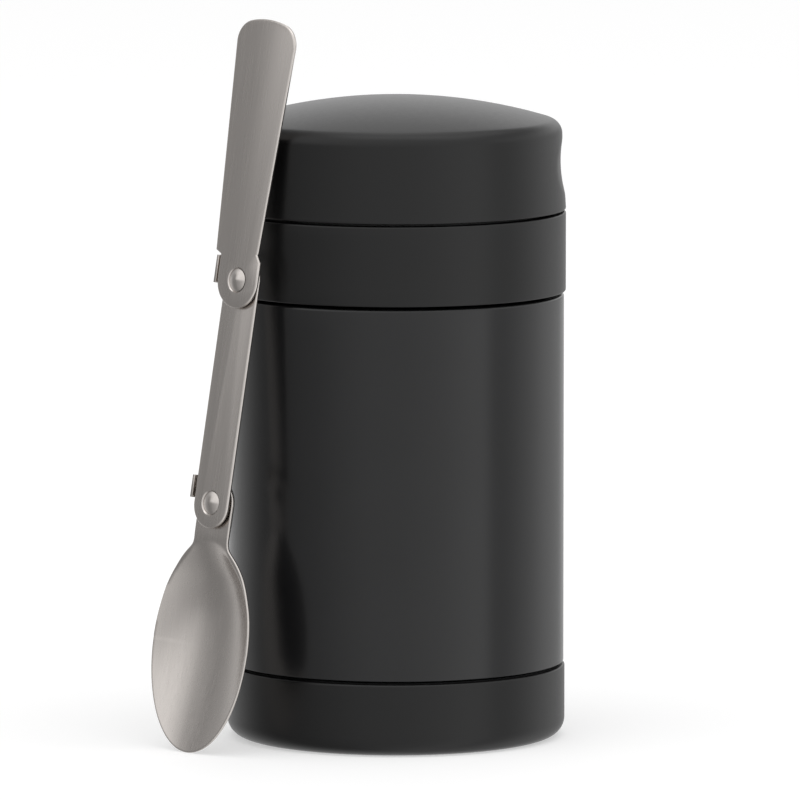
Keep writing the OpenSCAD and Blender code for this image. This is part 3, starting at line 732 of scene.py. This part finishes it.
class JAR_OT_stopper(Operator):
    """Makes the insulating stopper, the foam inside it and the rubber seal"""

    bl_idname = "jar.stopper"
    bl_label = "Stopper, foam and seal"

    def execute(self, context):
        look = context.scene.jar_finish
        (low, high), (_, foam_high) = corner("stopper"), corner("stopper_foam")
        side_gap, flange_t, floor_t = 0.9, 2.0, 1.8
        liner_r = context.scene.jar_body.liner_r / MM
        r, z0, z1 = liner_r - side_gap, low[2], high[2]
        flange, bore, floor = high[0], foam_high[0], z0 + floor_t
        profile = rounded(
            [[0, z0], [r, z0], [r, z1 - flange_t], [flange, z1 - flange_t], [flange, z1], [bore, z1],
             [bore, floor], [0, floor]],
            [0, 1.2, 0.3, 0.4, 0.3, 0.2, 0.6, 0], closed=False)
        settle(make_object("stopper_shell", [turned(finer(profile, 5.0), False)]), "lid", ["stopper"],
               moulded("stopper_plastic", look.stopper_plastic, 0.42))
        top = foam_high[2]
        profile = rounded([[0, floor], [bore, floor], [bore, top], [0, top]], [0, 0.4, 0.5, 0],
                          closed=False)
        settle(make_object("foam_disc", [turned(finer(profile, 5.0), False)]), "lid", ["stopper_foam"],
               soft("foam", look.foam, 0.8, 1400.0, 0.12))
        low, high = corner("lid_seal")
        z0, z1, inner, outer = low[2], high[2], r + 0.1, high[0]
        # the groove under the seal takes the liner's lip
        groove, groove_w, groove_z = liner_r + 0.9, 0.4, z0 + 0.57
        profile = rounded(
            [[inner, z0], [groove, z0], [groove, groove_z], [groove + groove_w, groove_z],
             [groove + groove_w, z0], [outer, z0], [outer, z1], [inner, z1]],
            [0.3, 0.15, 0.1, 0.1, 0.15, 0.3, 0.3, 0.3], 4)
        settle(make_object("seal_ring", [turned(profile)]), "seal", ["lid_seal"],
               soft("seal_rubber", look.rubber, 0.5, 700.0, 0.02))
        return {"FINISHED"}


class JAR_OT_tray(Operator):
    """Makes the spoon tray with its low wall"""

    bl_idname = "jar.tray"
    bl_label = "Spoon tray"

    def execute(self, context):
        s = mm(context.scene.jar_lid)
        low, high = corner("spoon_tray")
        r, z0, z1 = high[0], low[2], high[2]
        wall_h, wall_t, room = 2.0, 1.5, 1.0
        floor = z1 - wall_h
        wall = -HINGE_X - s["knuckle_r"] - s["gap"] - room
        profile = rounded(
            [[0, z0], [r, z0], [r, floor], [wall, floor], [wall, z1], [wall - wall_t, z1],
             [wall - wall_t, floor], [0, floor]],
            [0, 0.3, 0.4, 0.4, 0.6, 0.6, 0.8, 0], closed=False)
        thing = make_object("tray_dish", [turned(finer(profile, 4.0), False)])
        settle(thing, "lid", ["spoon_tray"],
               moulded("tray_plastic", context.scene.jar_finish.stopper_plastic, 0.4))
        return {"FINISHED"}


class JAR_OT_cover(Operator):
    """Makes the domed cover with its finger scoop, hinge arm and catch tongue"""

    bl_idname = "jar.cover"
    bl_label = "Cover"

    def execute(self, context):
        s = mm(context.scene.jar_lid)
        look = context.scene.jar_finish
        r, z0, z1, t, c = s["ring_r"], s["cover_z0"], s["cover_z1"], s["cover_t"], s["cover_corner_r"]
        side = r - s["cover_taper"] - c
        dome_z = z1 - s["dome_r"]
        corner_z = dome_z + math.sqrt((s["dome_r"] - c) ** 2 - side ** 2)
        lean = math.asin(side / (s["dome_r"] - c))
        draw = math.atan2(s["cover_taper"], corner_z - z0)

        def section(inset, rows):
            """Lower edge, drawn-in side, corner arc and dome arc, as (radius, height)."""
            a = np.linspace(draw, np.pi / 2 - lean, 14)
            arc = np.stack([side + (c - inset) * np.cos(a), corner_z + (c - inset) * np.sin(a)], -1)
            b = np.linspace(np.pi / 2 - lean, np.pi / 2, 30)[1:]
            ball = s["dome_r"] - inset
            dome = np.stack([ball * np.cos(b), dome_z + ball * np.sin(b)], -1)
            up = np.linspace(0, 1, rows)[:-1, None]
            wall = np.array([[r - inset, z0]]) * (1 - up) + arc[:1] * up
            return np.concatenate([wall, arc, dome])

        outer, inner = section(0.0, 44), section(t, 10)[::-1]
        outer[-1, 0] = inner[0, 0] = 0.0
        edge = rounded([[r - 4, z0], [r, z0], [r, z0 + 4]], [0, 0.5, 0], 5, closed=False)[1:-1]
        outer = np.concatenate([edge, outer[outer[:, 1] > z0 + 0.6]])
        lip = rounded([[r - t, z0 + 4], [r - t, z0], [r, z0]], [0, 0.4, 0], 4, closed=False)[1:-1]
        inner = np.concatenate([inner[inner[:, 1] > z0 + 0.5], lip])
        segments = 400
        points, faces = turned(np.concatenate([outer, inner]), True, segments)
        # finger scoop: the outer face is held inside a saddle-shaped surface of revolution
        x, y, z = points.T
        reach, a = np.hypot(x, y), np.arctan2(y, x)
        axis_x = (r - s["cover_taper"] * s["scoop_z"] / (corner_z - z0) - s["scoop_depth"]
                  - s["scoop_face_r"])
        rise = z - z0 - s["scoop_z"]
        around = (s["scoop_face_r"] + s["scoop_r"]
                  - np.sqrt(np.maximum(s["scoop_r"] ** 2 - rise ** 2, 0)))
        saddle = axis_x * np.cos(a) + np.sqrt(np.maximum(around ** 2 - (axis_x * np.sin(a)) ** 2, 0))
        half_turn, near, blend = 1.2, 0.6, 0.02
        outside = np.arange(len(points)) < len(outer) * segments
        use = outside & (np.abs(a) < half_turn) & (z < corner_z + c) & (saddle < reach + near)
        soft_min = (reach + saddle - np.sqrt((reach - saddle) ** 2 + blend)) / 2
        shrink = np.where(use, np.minimum(soft_min / np.maximum(reach, 1e-6), 1), 1)
        points = points * np.stack([shrink, shrink, np.ones_like(shrink)], -1)
        thing = make_object("cover_shell", [(points, faces)])
        # the back is cut away round the hinge, with room for the ring's knuckles as it swings
        hx, hz, clear = HINGE_X, HINGE_Z, 2.9
        notch = s["mid_knuckle_l"] / 2 + s["end_knuckle_l"] + 2 * s["gap"]
        cut(thing, [rod(clear, 2 * notch, 0.1, [hx, 0, hz], 96)])
        cut(thing, [block([hx - clear - 2, -notch, z0 - 1], [hx, notch, hz], 0.05)])
        plastic = moulded("cover_plastic", look.cover_plastic, look.plastic_rough, 0.42)
        settle(thing, "cover", ["cover"], plastic)
        w, arm_out, arm_in, arm_h = s["mid_knuckle_l"] / 2, 1.2, 1.8, 4.5
        arm = make_object("cover_arm", [
            rod(s["knuckle_r"], 2 * w, 0.3, [hx, 0, hz], 64),
            block([hx - arm_out, -w, hz], [hx + arm_in, w, hz + arm_h], 0.15)])
        settle(arm, "cover", ["cover"], plastic)
        catch, w, root = catch_x(s), s["catch_w"] / 2, 1.6
        tongue = make_object("cover_catch", [
            block([catch, -w, z0 - CATCH_DOWN], [catch + s["catch_t"], w, z0 + root])])
        settle(tongue, "cover", ["cover"], plastic)
        return {"FINISHED"}


class JAR_OT_hinge_pin(Operator):
    """Makes the steel pin of the cover's hinge"""

    bl_idname = "jar.hinge_pin"
    bl_label = "Hinge pin"

    def execute(self, context):
        low, high = corner("hinge_pin")
        pin = rod((high[0] - low[0]) / 2, high[1] - low[1], 0.2, (low + high) / 2)
        settle(make_object("pin_rod", [pin]), "lid", ["hinge_pin"],
               brushed("pin_steel", context.scene.jar_finish.pin_steel, 0.3, np.eye(3)))
        return {"FINISHED"}


def spoon_finish(look):
    """The brushed steel of the spoon's sheets, made once under a name that no CAD material has. Its
    streaks run along the spoon."""
    axes = (SPOON_RIGHT, SPOON_BACK, SPOON_UP)
    return (bpy.data.materials.get("spoon_sheet")
            or brushed("spoon_sheet", look.spoon_steel, look.spoon_rough, axes, 0.0008, 0.035, 0.02))


def notch_z(s):
    """Height above the upper rivet of the notch under the handle's left shoulder."""
    return s["handle_end_r"] - NOTCH_DROP


def hole(s, depth, z):
    """The hole for a rivet's shank through a sheet at a given depth."""
    points, faces = rod(s["rivet_r"] + HOLE_PLAY, 6, 0.1, [0, depth, z])
    return on_spoon(points), faces


def seat(s, depth, z):
    """The shallow round seat pressed into a sheet round a rivet's head: a cone that narrows to the
    head's own edge, with its mouth at a given depth."""
    r = s["rivet_head_r"]
    profile = [[0, 2 * SEAT], [r + SEAT, 2 * SEAT], [r + SEAT, 0.0], [r, -SEAT], [0, -SEAT]]
    points, faces = turned(profile, False, 96)
    return on_spoon(upright(points) * [1, -1, 1] + [0, depth, z]), faces


def stop_tab(s, inner, depth0, depth1, z0, tall):
    """A stop tab: an L in plan, out from a plate's left edge and forward, with a rounded bend,
    carried up by the tab's height. Points in the spoon's own axes."""
    t, p = s["tab_t"], s["plate_t"]
    outline = rounded(
        [[-inner + 1, depth0 + p], [-inner - t, depth0 + p], [-inner - t, depth1], [-inner, depth1],
         [-inner, depth0], [-inner + 1, depth0]], [0, 0.7, 0.12, 0.12, 0.1, 0], 5)
    points, faces = slab(outline, tall, 0.12, 3)
    return points + [0, 0, z0], faces


class JAR_OT_handle(Operator):
    """Makes the spoon's flat handle with its shoulders and curved top edge"""

    bl_idname = "jar.handle"
    bl_label = "Spoon handle"

    def execute(self, context):
        s = mm(context.scene.jar_spoon)
        end, shift = s["handle_end_r"], s["handle_shift"]
        notch = notch_z(s)
        low = notch + SHOULDER
        a = np.radians(np.linspace(180, 360, 41))
        foot = np.stack([end * np.cos(a), end * np.sin(a)], -1)
        left, right = -shift - s["handle_low_w"] / 2, -shift + s["handle_low_w"] / 2
        top_l, top_r = -shift - s["handle_top_w"] / 2, -shift + s["handle_top_w"] / 2
        c, crown_r = s["handle_corner_r"], s["handle_crown_r"]
        # the corner arcs touch the sides and the inside of the crown's arc
        half = math.asin((s["handle_top_w"] / 2 - c) / (crown_r - c))
        crown_z = s["handle_l"] - crown_r
        corner_z = crown_z + (crown_r - c) * math.cos(half)
        ahead = np.linspace(0, np.pi / 2 - half, 14)
        cap = np.linspace(np.pi / 2 - half, np.pi / 2 + half, 17)[1:-1]
        back = np.linspace(np.pi / 2 + half, np.pi, 14)
        # the right side widens in one small step, and the left shoulder stands out over the notch
        outline = np.concatenate([
            foot, [[end, end - 2], [right - 0.2, low + 0.6], [right, low + 1.0]],
            np.stack([top_r - c + c * np.cos(ahead), corner_z + c * np.sin(ahead)], -1),
            np.stack([-shift + crown_r * np.cos(cap), crown_z + crown_r * np.sin(cap)], -1),
            np.stack([top_l + c + c * np.cos(back), corner_z + c * np.sin(back)], -1),
            [[left, low + 0.3], [left + 0.15, low - 0.06], [-end, notch], [-end, 2.0]]])
        points, faces = slab(outline, s["plate_t"], s["edge_r"])
        pitch = s["plate_t"] + s["plate_gap"]
        thing = make_object("handle_plate", [(on_spoon(upright(points) + [0, -pitch, SPAN]), faces)])
        cut(thing, [hole(s, -pitch, SPAN)])
        cut(thing, [seat(s, -pitch, SPAN)])
        settle(thing, "handle", ["spoon_handle"], spoon_finish(context.scene.jar_finish))
        return {"FINISHED"}


class JAR_OT_link(Operator):
    """Makes the spoon's link, the middle plate with two round ends and a stop tab"""

    bl_idname = "jar.link"
    bl_label = "Spoon link"

    def execute(self, context):
        s = mm(context.scene.jar_spoon)
        r, over = s["link_w"] / 2, s["link_over"]
        a = np.linspace(0, np.pi, 41)
        head = np.stack([r * np.cos(a), SPAN + over + r * np.sin(a)], -1)
        foot = np.stack([-r * np.cos(a), -over - r * np.sin(a)], -1)
        points, faces = slab(np.concatenate([head, foot]), s["plate_t"], s["edge_r"])
        plate = make_object("link_plate", [(on_spoon(upright(points)), faces)])
        cut(plate, [seat(s, 0, 0)])
        steel = spoon_finish(context.scene.jar_finish)
        settle(plate, "spoon", ["spoon_link"], steel)
        pitch = s["plate_t"] + s["plate_gap"]
        points, faces = stop_tab(s, s["handle_end_r"] + s["fold_gap"], 0, -pitch - TAB_REACH,
                                 SPAN + notch_z(s) - TAB_CLEAR - s["link_tab_h"], s["link_tab_h"])
        settle(make_object("link_tab", [(on_spoon(points), faces)]), "spoon", ["spoon_link"], steel)
        return {"FINISHED"}


class JAR_OT_bowl(Operator):
    """Makes the spoon's bowl and the tang that joins it to the lower rivet"""

    bl_idname = "jar.bowl"
    bl_label = "Spoon bowl"

    def execute(self, context):
        s = mm(context.scene.jar_spoon)
        length_, width, reach = s["bowl_l"], s["bowl_w"], s["bowl_reach"]
        neck, middle, tang = reach - length_, reach - length_ / 2, s["link_w"] / 2
        bowl_sharp = 40.0
        pitch = s["plate_t"] + s["plate_gap"]

        def half_width(z):
            """An ellipse about the bowl's middle, blended into the tang's straight sides above it."""
            flare = 1.6
            q = (z + middle) / (length_ / 2)
            oval = width / 2 * np.sqrt(np.maximum(0, 1 - q * q))
            blend = (oval + tang + np.sqrt((oval - tang) ** 2 + flare ** 2)) / 2
            extra = (np.sqrt(tang ** 2 + flare ** 2) - tang) / 2
            share = np.clip((z + middle) / (middle - neck), 0, 1) ** 4
            return np.where(z > -middle, blend - extra * share, oval)

        a = np.radians(np.linspace(90, 0, 25))[:-1]
        cap = np.stack([tang * np.cos(a), tang * np.sin(a)], -1)
        z_neck = np.linspace(0, -neck, 14)[:-1]
        k = np.linspace(0, np.pi / 2, 90)
        z_upper = np.linspace(-neck, -middle, 50)[:-1]
        z = np.concatenate([z_neck, z_upper, -middle - (reach - middle) * np.sin(k)])
        right = np.concatenate([cap, np.stack([half_width(z), z], -1)])
        right[0, 0] = right[-1, 0] = 0.0
        outline = np.concatenate([right, (right * [-1, 1])[-2:0:-1]])
        spine_end = 9.0  # above the tip
        spine = np.clip(outline[:, 1], -reach + spine_end, 0.0)
        ahead = np.roll(outline, -1, 0) - np.roll(outline, 1, 0)
        normal = np.stack([-ahead[:, 1], ahead[:, 0]], -1)
        normal /= np.linalg.norm(normal, axis=1, keepdims=True)

        def front(x, z):
            """Depth of the front face: the tang's level, a step back to the rim, and the hollow,
            deepest a third of the way down, whose section is 1 - (x / half width) ^ 2.4. Towards the
            neck the hollow's edge bends down at both sides, so that it starts as an arch."""
            step_rise, step_l, arch, arch_w = 2.1, 12, 4.0, 80.0
            soften, flow, blend_l, thinnest, power = 0.06, 0.8, 9, 0.4, 2.4
            step = np.clip((step_rise - neck - z) / step_l, 0, 1)
            rim = pitch + s["bowl_step"] * step * step * (3 - 2 * step)
            deep = -neck - length_ / 3
            above = np.clip((z - deep) / (length_ / 3), 0, 1)
            z = z + arch * (1 - np.exp(-x * x / arch_w)) * above
            upper, lower = length_ / 3, deep + reach
            q = (z - deep) / (lower + (upper - lower) * (0.5 + 0.5 * np.tanh((z - deep) / blend_l)))
            drop = (q * q + soften) ** flow - soften ** flow
            down = np.maximum(0, 1 - drop / ((1 + soften) ** flow - soften ** flow))
            v = np.clip(np.abs(x) / np.maximum(half_width(z), thinnest), 0, 1)
            return rim + s["bowl_depth"] * down * (1 - v ** power)

        def thickness(z):
            """The tang's sheet thins into the bowl's."""
            start, run = 5, 8
            share = np.clip((-z - start) / run, 0, 1)
            return s["plate_t"] + (s["bowl_t"] - s["plate_t"]) * share

        edge = 0.3
        inner = outline - normal * edge
        rim, thick = front(inner[:, 0], inner[:, 1]), thickness(outline[:, 1])
        fronts, backs = [], []
        crowd = 0.85  # brings the rings of faces closer together towards the rim
        for share in np.linspace(0, 1, 27) ** crowd:
            across, up = inner[:, 0] * share, spine + (inner[:, 1] - spine) * share
            depth = front(across, up)
            fronts.append(np.stack([across, depth, up], -1))
            backs.append(np.stack([across, depth + thickness(up), up], -1))
        for angle in np.linspace(0, np.pi / 2, 5)[1:]:
            across, up = (outline - normal * edge * (1 - math.sin(angle))).T
            turn = edge * (1 - math.cos(angle))
            fronts.append(np.stack([across, rim + turn, up], -1))
            backs.append(np.stack([across, rim + thick - turn, up], -1))
        rows = fronts + backs[::-1]
        thing = make_object("bowl_shell", [(on_spoon(np.concatenate(rows)), quads(len(rows), len(outline)))],
                            bowl_sharp)
        cut(thing, [hole(s, pitch, 0)], bowl_sharp)
        steel = spoon_finish(context.scene.jar_finish)
        settle(thing, "bowl", ["spoon_bowl"], steel)
        tab_front, tab_z = -0.3, 0.5
        points, faces = stop_tab(s, tang + s["link_over"] + s["fold_gap"], pitch, tab_front, tab_z,
                                 s["tab_h"])
        settle(make_object("bowl_tab", [(on_spoon(points), faces)]), "bowl", ["spoon_bowl"], steel)
        return {"FINISHED"}


class JAR_OT_rivets(Operator):
    """Makes the two rivets and the spacing washers"""

    bl_idname = "jar.rivets"
    bl_label = "Rivets and washers"

    def execute(self, context):
        s = mm(context.scene.jar_spoon)
        look = context.scene.jar_finish
        pitch, play = s["plate_t"] + s["plate_gap"], s["end_play"]
        steel = brushed("rivet_steel", look.spoon_steel, 0.19, (SPOON_RIGHT, SPOON_BACK, SPOON_UP),
                        0.0006, 0.03)

        def head(h):
            """A spherical cap, (radius, height above the plate), whose edge stands down in its seat
            and clear of the seat's side."""
            edge, rise = s["rivet_head_r"] - HEAD_CLEAR, h + HEAD_DOWN
            ball = (edge * edge + rise * rise) / (2 * rise)
            a = np.linspace(0, math.asin(edge / ball), 20)
            return np.stack([ball * np.sin(a), ball * np.cos(a) - ball + h], -1)

        def rivet(front, back, front_h, back_h, z):
            """Two heads on the outer faces of a stack of plates, and the shank between them."""
            dome, low = head(front_h), head(back_h)[::-1]
            profile = np.concatenate([
                np.stack([dome[:, 0], front - dome[:, 1]], -1), [[s["rivet_r"], front]],
                [[s["rivet_r"], back]], np.stack([low[:, 0], back + low[:, 1]], -1)])
            points, faces = turned(profile, False, 72)
            return on_spoon(upright(points) + [0, 0, z]), faces

        def washer(front, z):
            """A flat spacer behind a plate's back face."""
            r0, r1, back = s["rivet_r"], s["washer_r"], front + (s["plate_gap"] - play)
            profile = rounded([[r0, front], [r1, front], [r1, back], [r0, back]], [0.1] * 4, 3)
            points, faces = turned(profile, True, 72)
            return on_spoon(upright(points) + [0, 0, z]), faces

        low_h = s["low_head_h"]
        made = {
            "handle_rivet": ("rivet_upper", rivet(-pitch - play, s["plate_t"], s["handle_head_h"], low_h,
                                                  SPAN)),
            "bowl_rivet": ("rivet_lower", rivet(0, pitch + s["plate_t"] + play, low_h, low_h, 0)),
            "handle_washer": ("handle_spacer", washer(-s["plate_gap"] + play, SPAN)),
            "bowl_washer": ("bowl_spacer", washer(s["plate_t"], 0)),
        }
        for node, (name, part) in made.items():
            settle(make_object(name, [part]), "spoon", [node], steel)
        return {"FINISHED"}


class JAR_OT_studio(Operator):
    """Sets up the white floor, the light tent, the top lamp and the camera"""

    bl_idname = "jar.studio"
    bl_label = "Studio"

    def execute(self, context):
        s = context.scene.jar_studio
        scene = context.scene
        scene.view_settings.view_transform = "Standard"

        side = 3.0
        mesh = bpy.data.meshes.new("floor")
        mesh.from_pydata([(-side, -side, 0), (side, -side, 0), (side, side, 0), (-side, side, 0)], [],
                         [(0, 1, 2, 3)])
        floor = bpy.data.objects.new("floor", mesh)
        scene.collection.objects.link(floor)
        finish = bpy.data.materials.new("white_floor")
        work = Nodes(finish)
        work.tree.nodes.clear()
        card = work.node("ShaderNodeBsdfDiffuse", {"Color": (0.85, 0.85, 0.85, 1.0)})
        glow = work.node("ShaderNodeEmission", {"Color": (1.0, 1.0, 1.0, 1.0), "Strength": GLOW})
        seen = work.node("ShaderNodeLightPath").outputs["Is Camera Ray"]
        part = work.node("ShaderNodeMath", {0: seen, 1: GLOW_SHARE}, operation="MULTIPLY")
        mix = work.node("ShaderNodeMixShader", {0: part.outputs["Value"], 1: card.outputs["BSDF"],
                                                2: glow.outputs["Emission"]})
        work.node("ShaderNodeOutputMaterial", {"Surface": mix.outputs["Shader"]})
        mesh.materials.append(finish)
        floor.visible_glossy = False

        self.tent(scene, s.room)

        lamp = bpy.data.lights.new("top_lamp", "AREA")
        lamp.shape, lamp.size, lamp.energy = "SQUARE", 2.0, s.top_power
        top = bpy.data.objects.new("top_lamp", lamp)
        top.location = (0.3, 0.2, 1.8)
        top.visible_camera = False
        scene.collection.objects.link(top)

        camera_data = bpy.data.cameras.new("camera")
        camera_data.sensor_width, camera_data.lens = 36.0, s.lens
        camera_data.clip_start, camera_data.clip_end = 0.05, 50.0
        camera = bpy.data.objects.new("camera", camera_data)
        camera.location = (s.aim_x, -s.distance * math.cos(s.tilt), s.aim_z + s.distance * math.sin(s.tilt))
        camera.rotation_euler = (math.pi / 2 - s.tilt, 0, 0)
        scene.collection.objects.link(camera)
        scene.camera = camera
        return {"FINISHED"}

    def tent(self, scene, level):
        """World: white behind the jar for the camera. Every other ray sees a light tent whose
        brightness follows the compass angle, with dark gaps between its panels, and a bright roof."""
        world = bpy.data.worlds.new("light_tent")
        scene.world = world
        work = Nodes(world)
        work.tree.nodes.clear()
        place = work.node("ShaderNodeTexCoord").outputs["Generated"]
        split = work.node("ShaderNodeSeparateXYZ", {"Vector": place}).outputs
        front = work.node("ShaderNodeMath", {0: split["Y"], 1: -1.0}, operation="MULTIPLY")
        compass = work.node("ShaderNodeMath", {0: split["X"], 1: front.outputs["Value"]},
                            operation="ARCTAN2")
        share = work.node("ShaderNodeMapRange", {"Value": compass.outputs["Value"],
                                                 "From Min": -math.pi, "From Max": math.pi})
        # brightness by compass angle from the front, positive to the right, in three bands of height
        low = [(-180, 1.05), (-168, 0.80), (-140, 0.72), (-122, 0.58), (-108, 0.33), (-97, 0.27),
               (-90, 0.25), (-82, 0.27), (-70, 0.38), (-54, 0.46), (-38, 0.62), (-20, 0.76), (5, 0.80),
               (32, 0.96), (48, 1.15), (65, 1.30), (69, 0.62), (80, 0.64), (97, 0.84),
               (120, 0.96), (150, 0.57), (168, 0.80), (180, 1.05)]
        middle = [(-180, 1.25), (-158, 1.15), (-135, 0.42), (-108, 0.38), (-98, 0.26), (-92, 0.29),
                  (-86, 0.66), (-76, 1.00), (-60, 1.05), (-40, 1.00), (0, 0.95), (60, 1.10),
                  (110, 1.00), (150, 1.10), (180, 1.25)]
        high = [(-180, 0.85), (-165, 0.60), (-150, 0.22), (-120, 0.50), (-90, 1.00), (-60, 1.10),
                (0, 1.10), (60, 1.10), (90, 0.80), (120, 0.50), (150, 0.22), (165, 0.60),
                (180, 0.85)]

        def band(stops):
            """A ramp over the compass angle."""
            made = work.node("ShaderNodeValToRGB", {"Fac": share.outputs["Result"]})
            ramp = made.color_ramp
            while len(ramp.elements) < len(stops):
                ramp.elements.new(0.5)
            for element, (angle, light) in zip(ramp.elements, stops):
                element.position = (angle + 180) / 360
                element.color = (light, light, light, 1.0)
            return made.outputs["Color"]

        def rising(below, above, start, end):
            """One band passing into the next as the direction climbs from start to end."""
            height = work.node("ShaderNodeMapRange", {"Value": split["Z"], "From Min": start,
                                                      "From Max": end}, interpolation_type="SMOOTHSTEP")
            # inputs 0, 6 and 7 of a colour mix are its factor and its two colours
            made = work.node("ShaderNodeMix", {0: height.outputs["Result"], 6: below, 7: above},
                             data_type="RGBA")
            return made.outputs[2]

        tent = rising(rising(band(low), band(middle), 0.06, 0.22), band(high), 0.32, 0.62)
        around = work.node("ShaderNodeBackground", {"Color": tent, "Strength": level})
        white = work.node("ShaderNodeBackground", {"Color": (1.0, 1.0, 1.0, 1.0)})
        seen = work.node("ShaderNodeLightPath").outputs["Is Camera Ray"]
        mix = work.node("ShaderNodeMixShader", {0: seen, 1: around.outputs["Background"],
                                                2: white.outputs["Background"]})
        work.node("ShaderNodeOutputWorld", {"Surface": mix.outputs["Shader"]})


OPERATORS = (JAR_OT_body, JAR_OT_liner, JAR_OT_base_cup, JAR_OT_screw_ring, JAR_OT_stopper, JAR_OT_tray,
             JAR_OT_cover, JAR_OT_hinge_pin, JAR_OT_handle, JAR_OT_link, JAR_OT_bowl, JAR_OT_rivets,
             JAR_OT_studio)
GROUPS = {"jar_body": JAR_PG_body, "jar_lid": JAR_PG_lid, "jar_spoon": JAR_PG_spoon,
          "jar_finish": JAR_PG_finish, "jar_studio": JAR_PG_studio}


class JAR_PT_panel(Panel):
    """Lists the pieces and their sizes"""

    bl_idname = "JAR_PT_panel"
    bl_label = "Food jar"
    bl_space_type = "VIEW_3D"
    bl_region_type = "UI"
    bl_category = "Food jar"

    def draw(self, context):
        for operator in OPERATORS:
            self.layout.operator(operator.bl_idname)
        for group in GROUPS:
            box = self.layout.box()
            settings = getattr(context.scene, group)
            for key in settings_of(settings):
                box.prop(settings, key)


def register():
    """Adds the classes and the settings to Blender."""
    for cls in (*GROUPS.values(), *OPERATORS, JAR_PT_panel):
        bpy.utils.register_class(cls)
    for name, group in GROUPS.items():
        setattr(bpy.types.Scene, name, PointerProperty(type=group))


def unregister():
    """Takes the classes and the settings out again."""
    for name in GROUPS:
        delattr(bpy.types.Scene, name)
    for cls in (JAR_PT_panel, *OPERATORS[::-1], *list(GROUPS.values())[::-1]):
        bpy.utils.unregister_class(cls)


def main():
    register()
    for operator in OPERATORS:
        group, name = operator.bl_idname.split(".")
        if getattr(getattr(bpy.ops, group), name)() != {"FINISHED"}:
            raise RuntimeError(f"{operator.bl_label} wasn't made")
    bpy.context.view_layer.update()


if __name__ == "__main__":
    main()
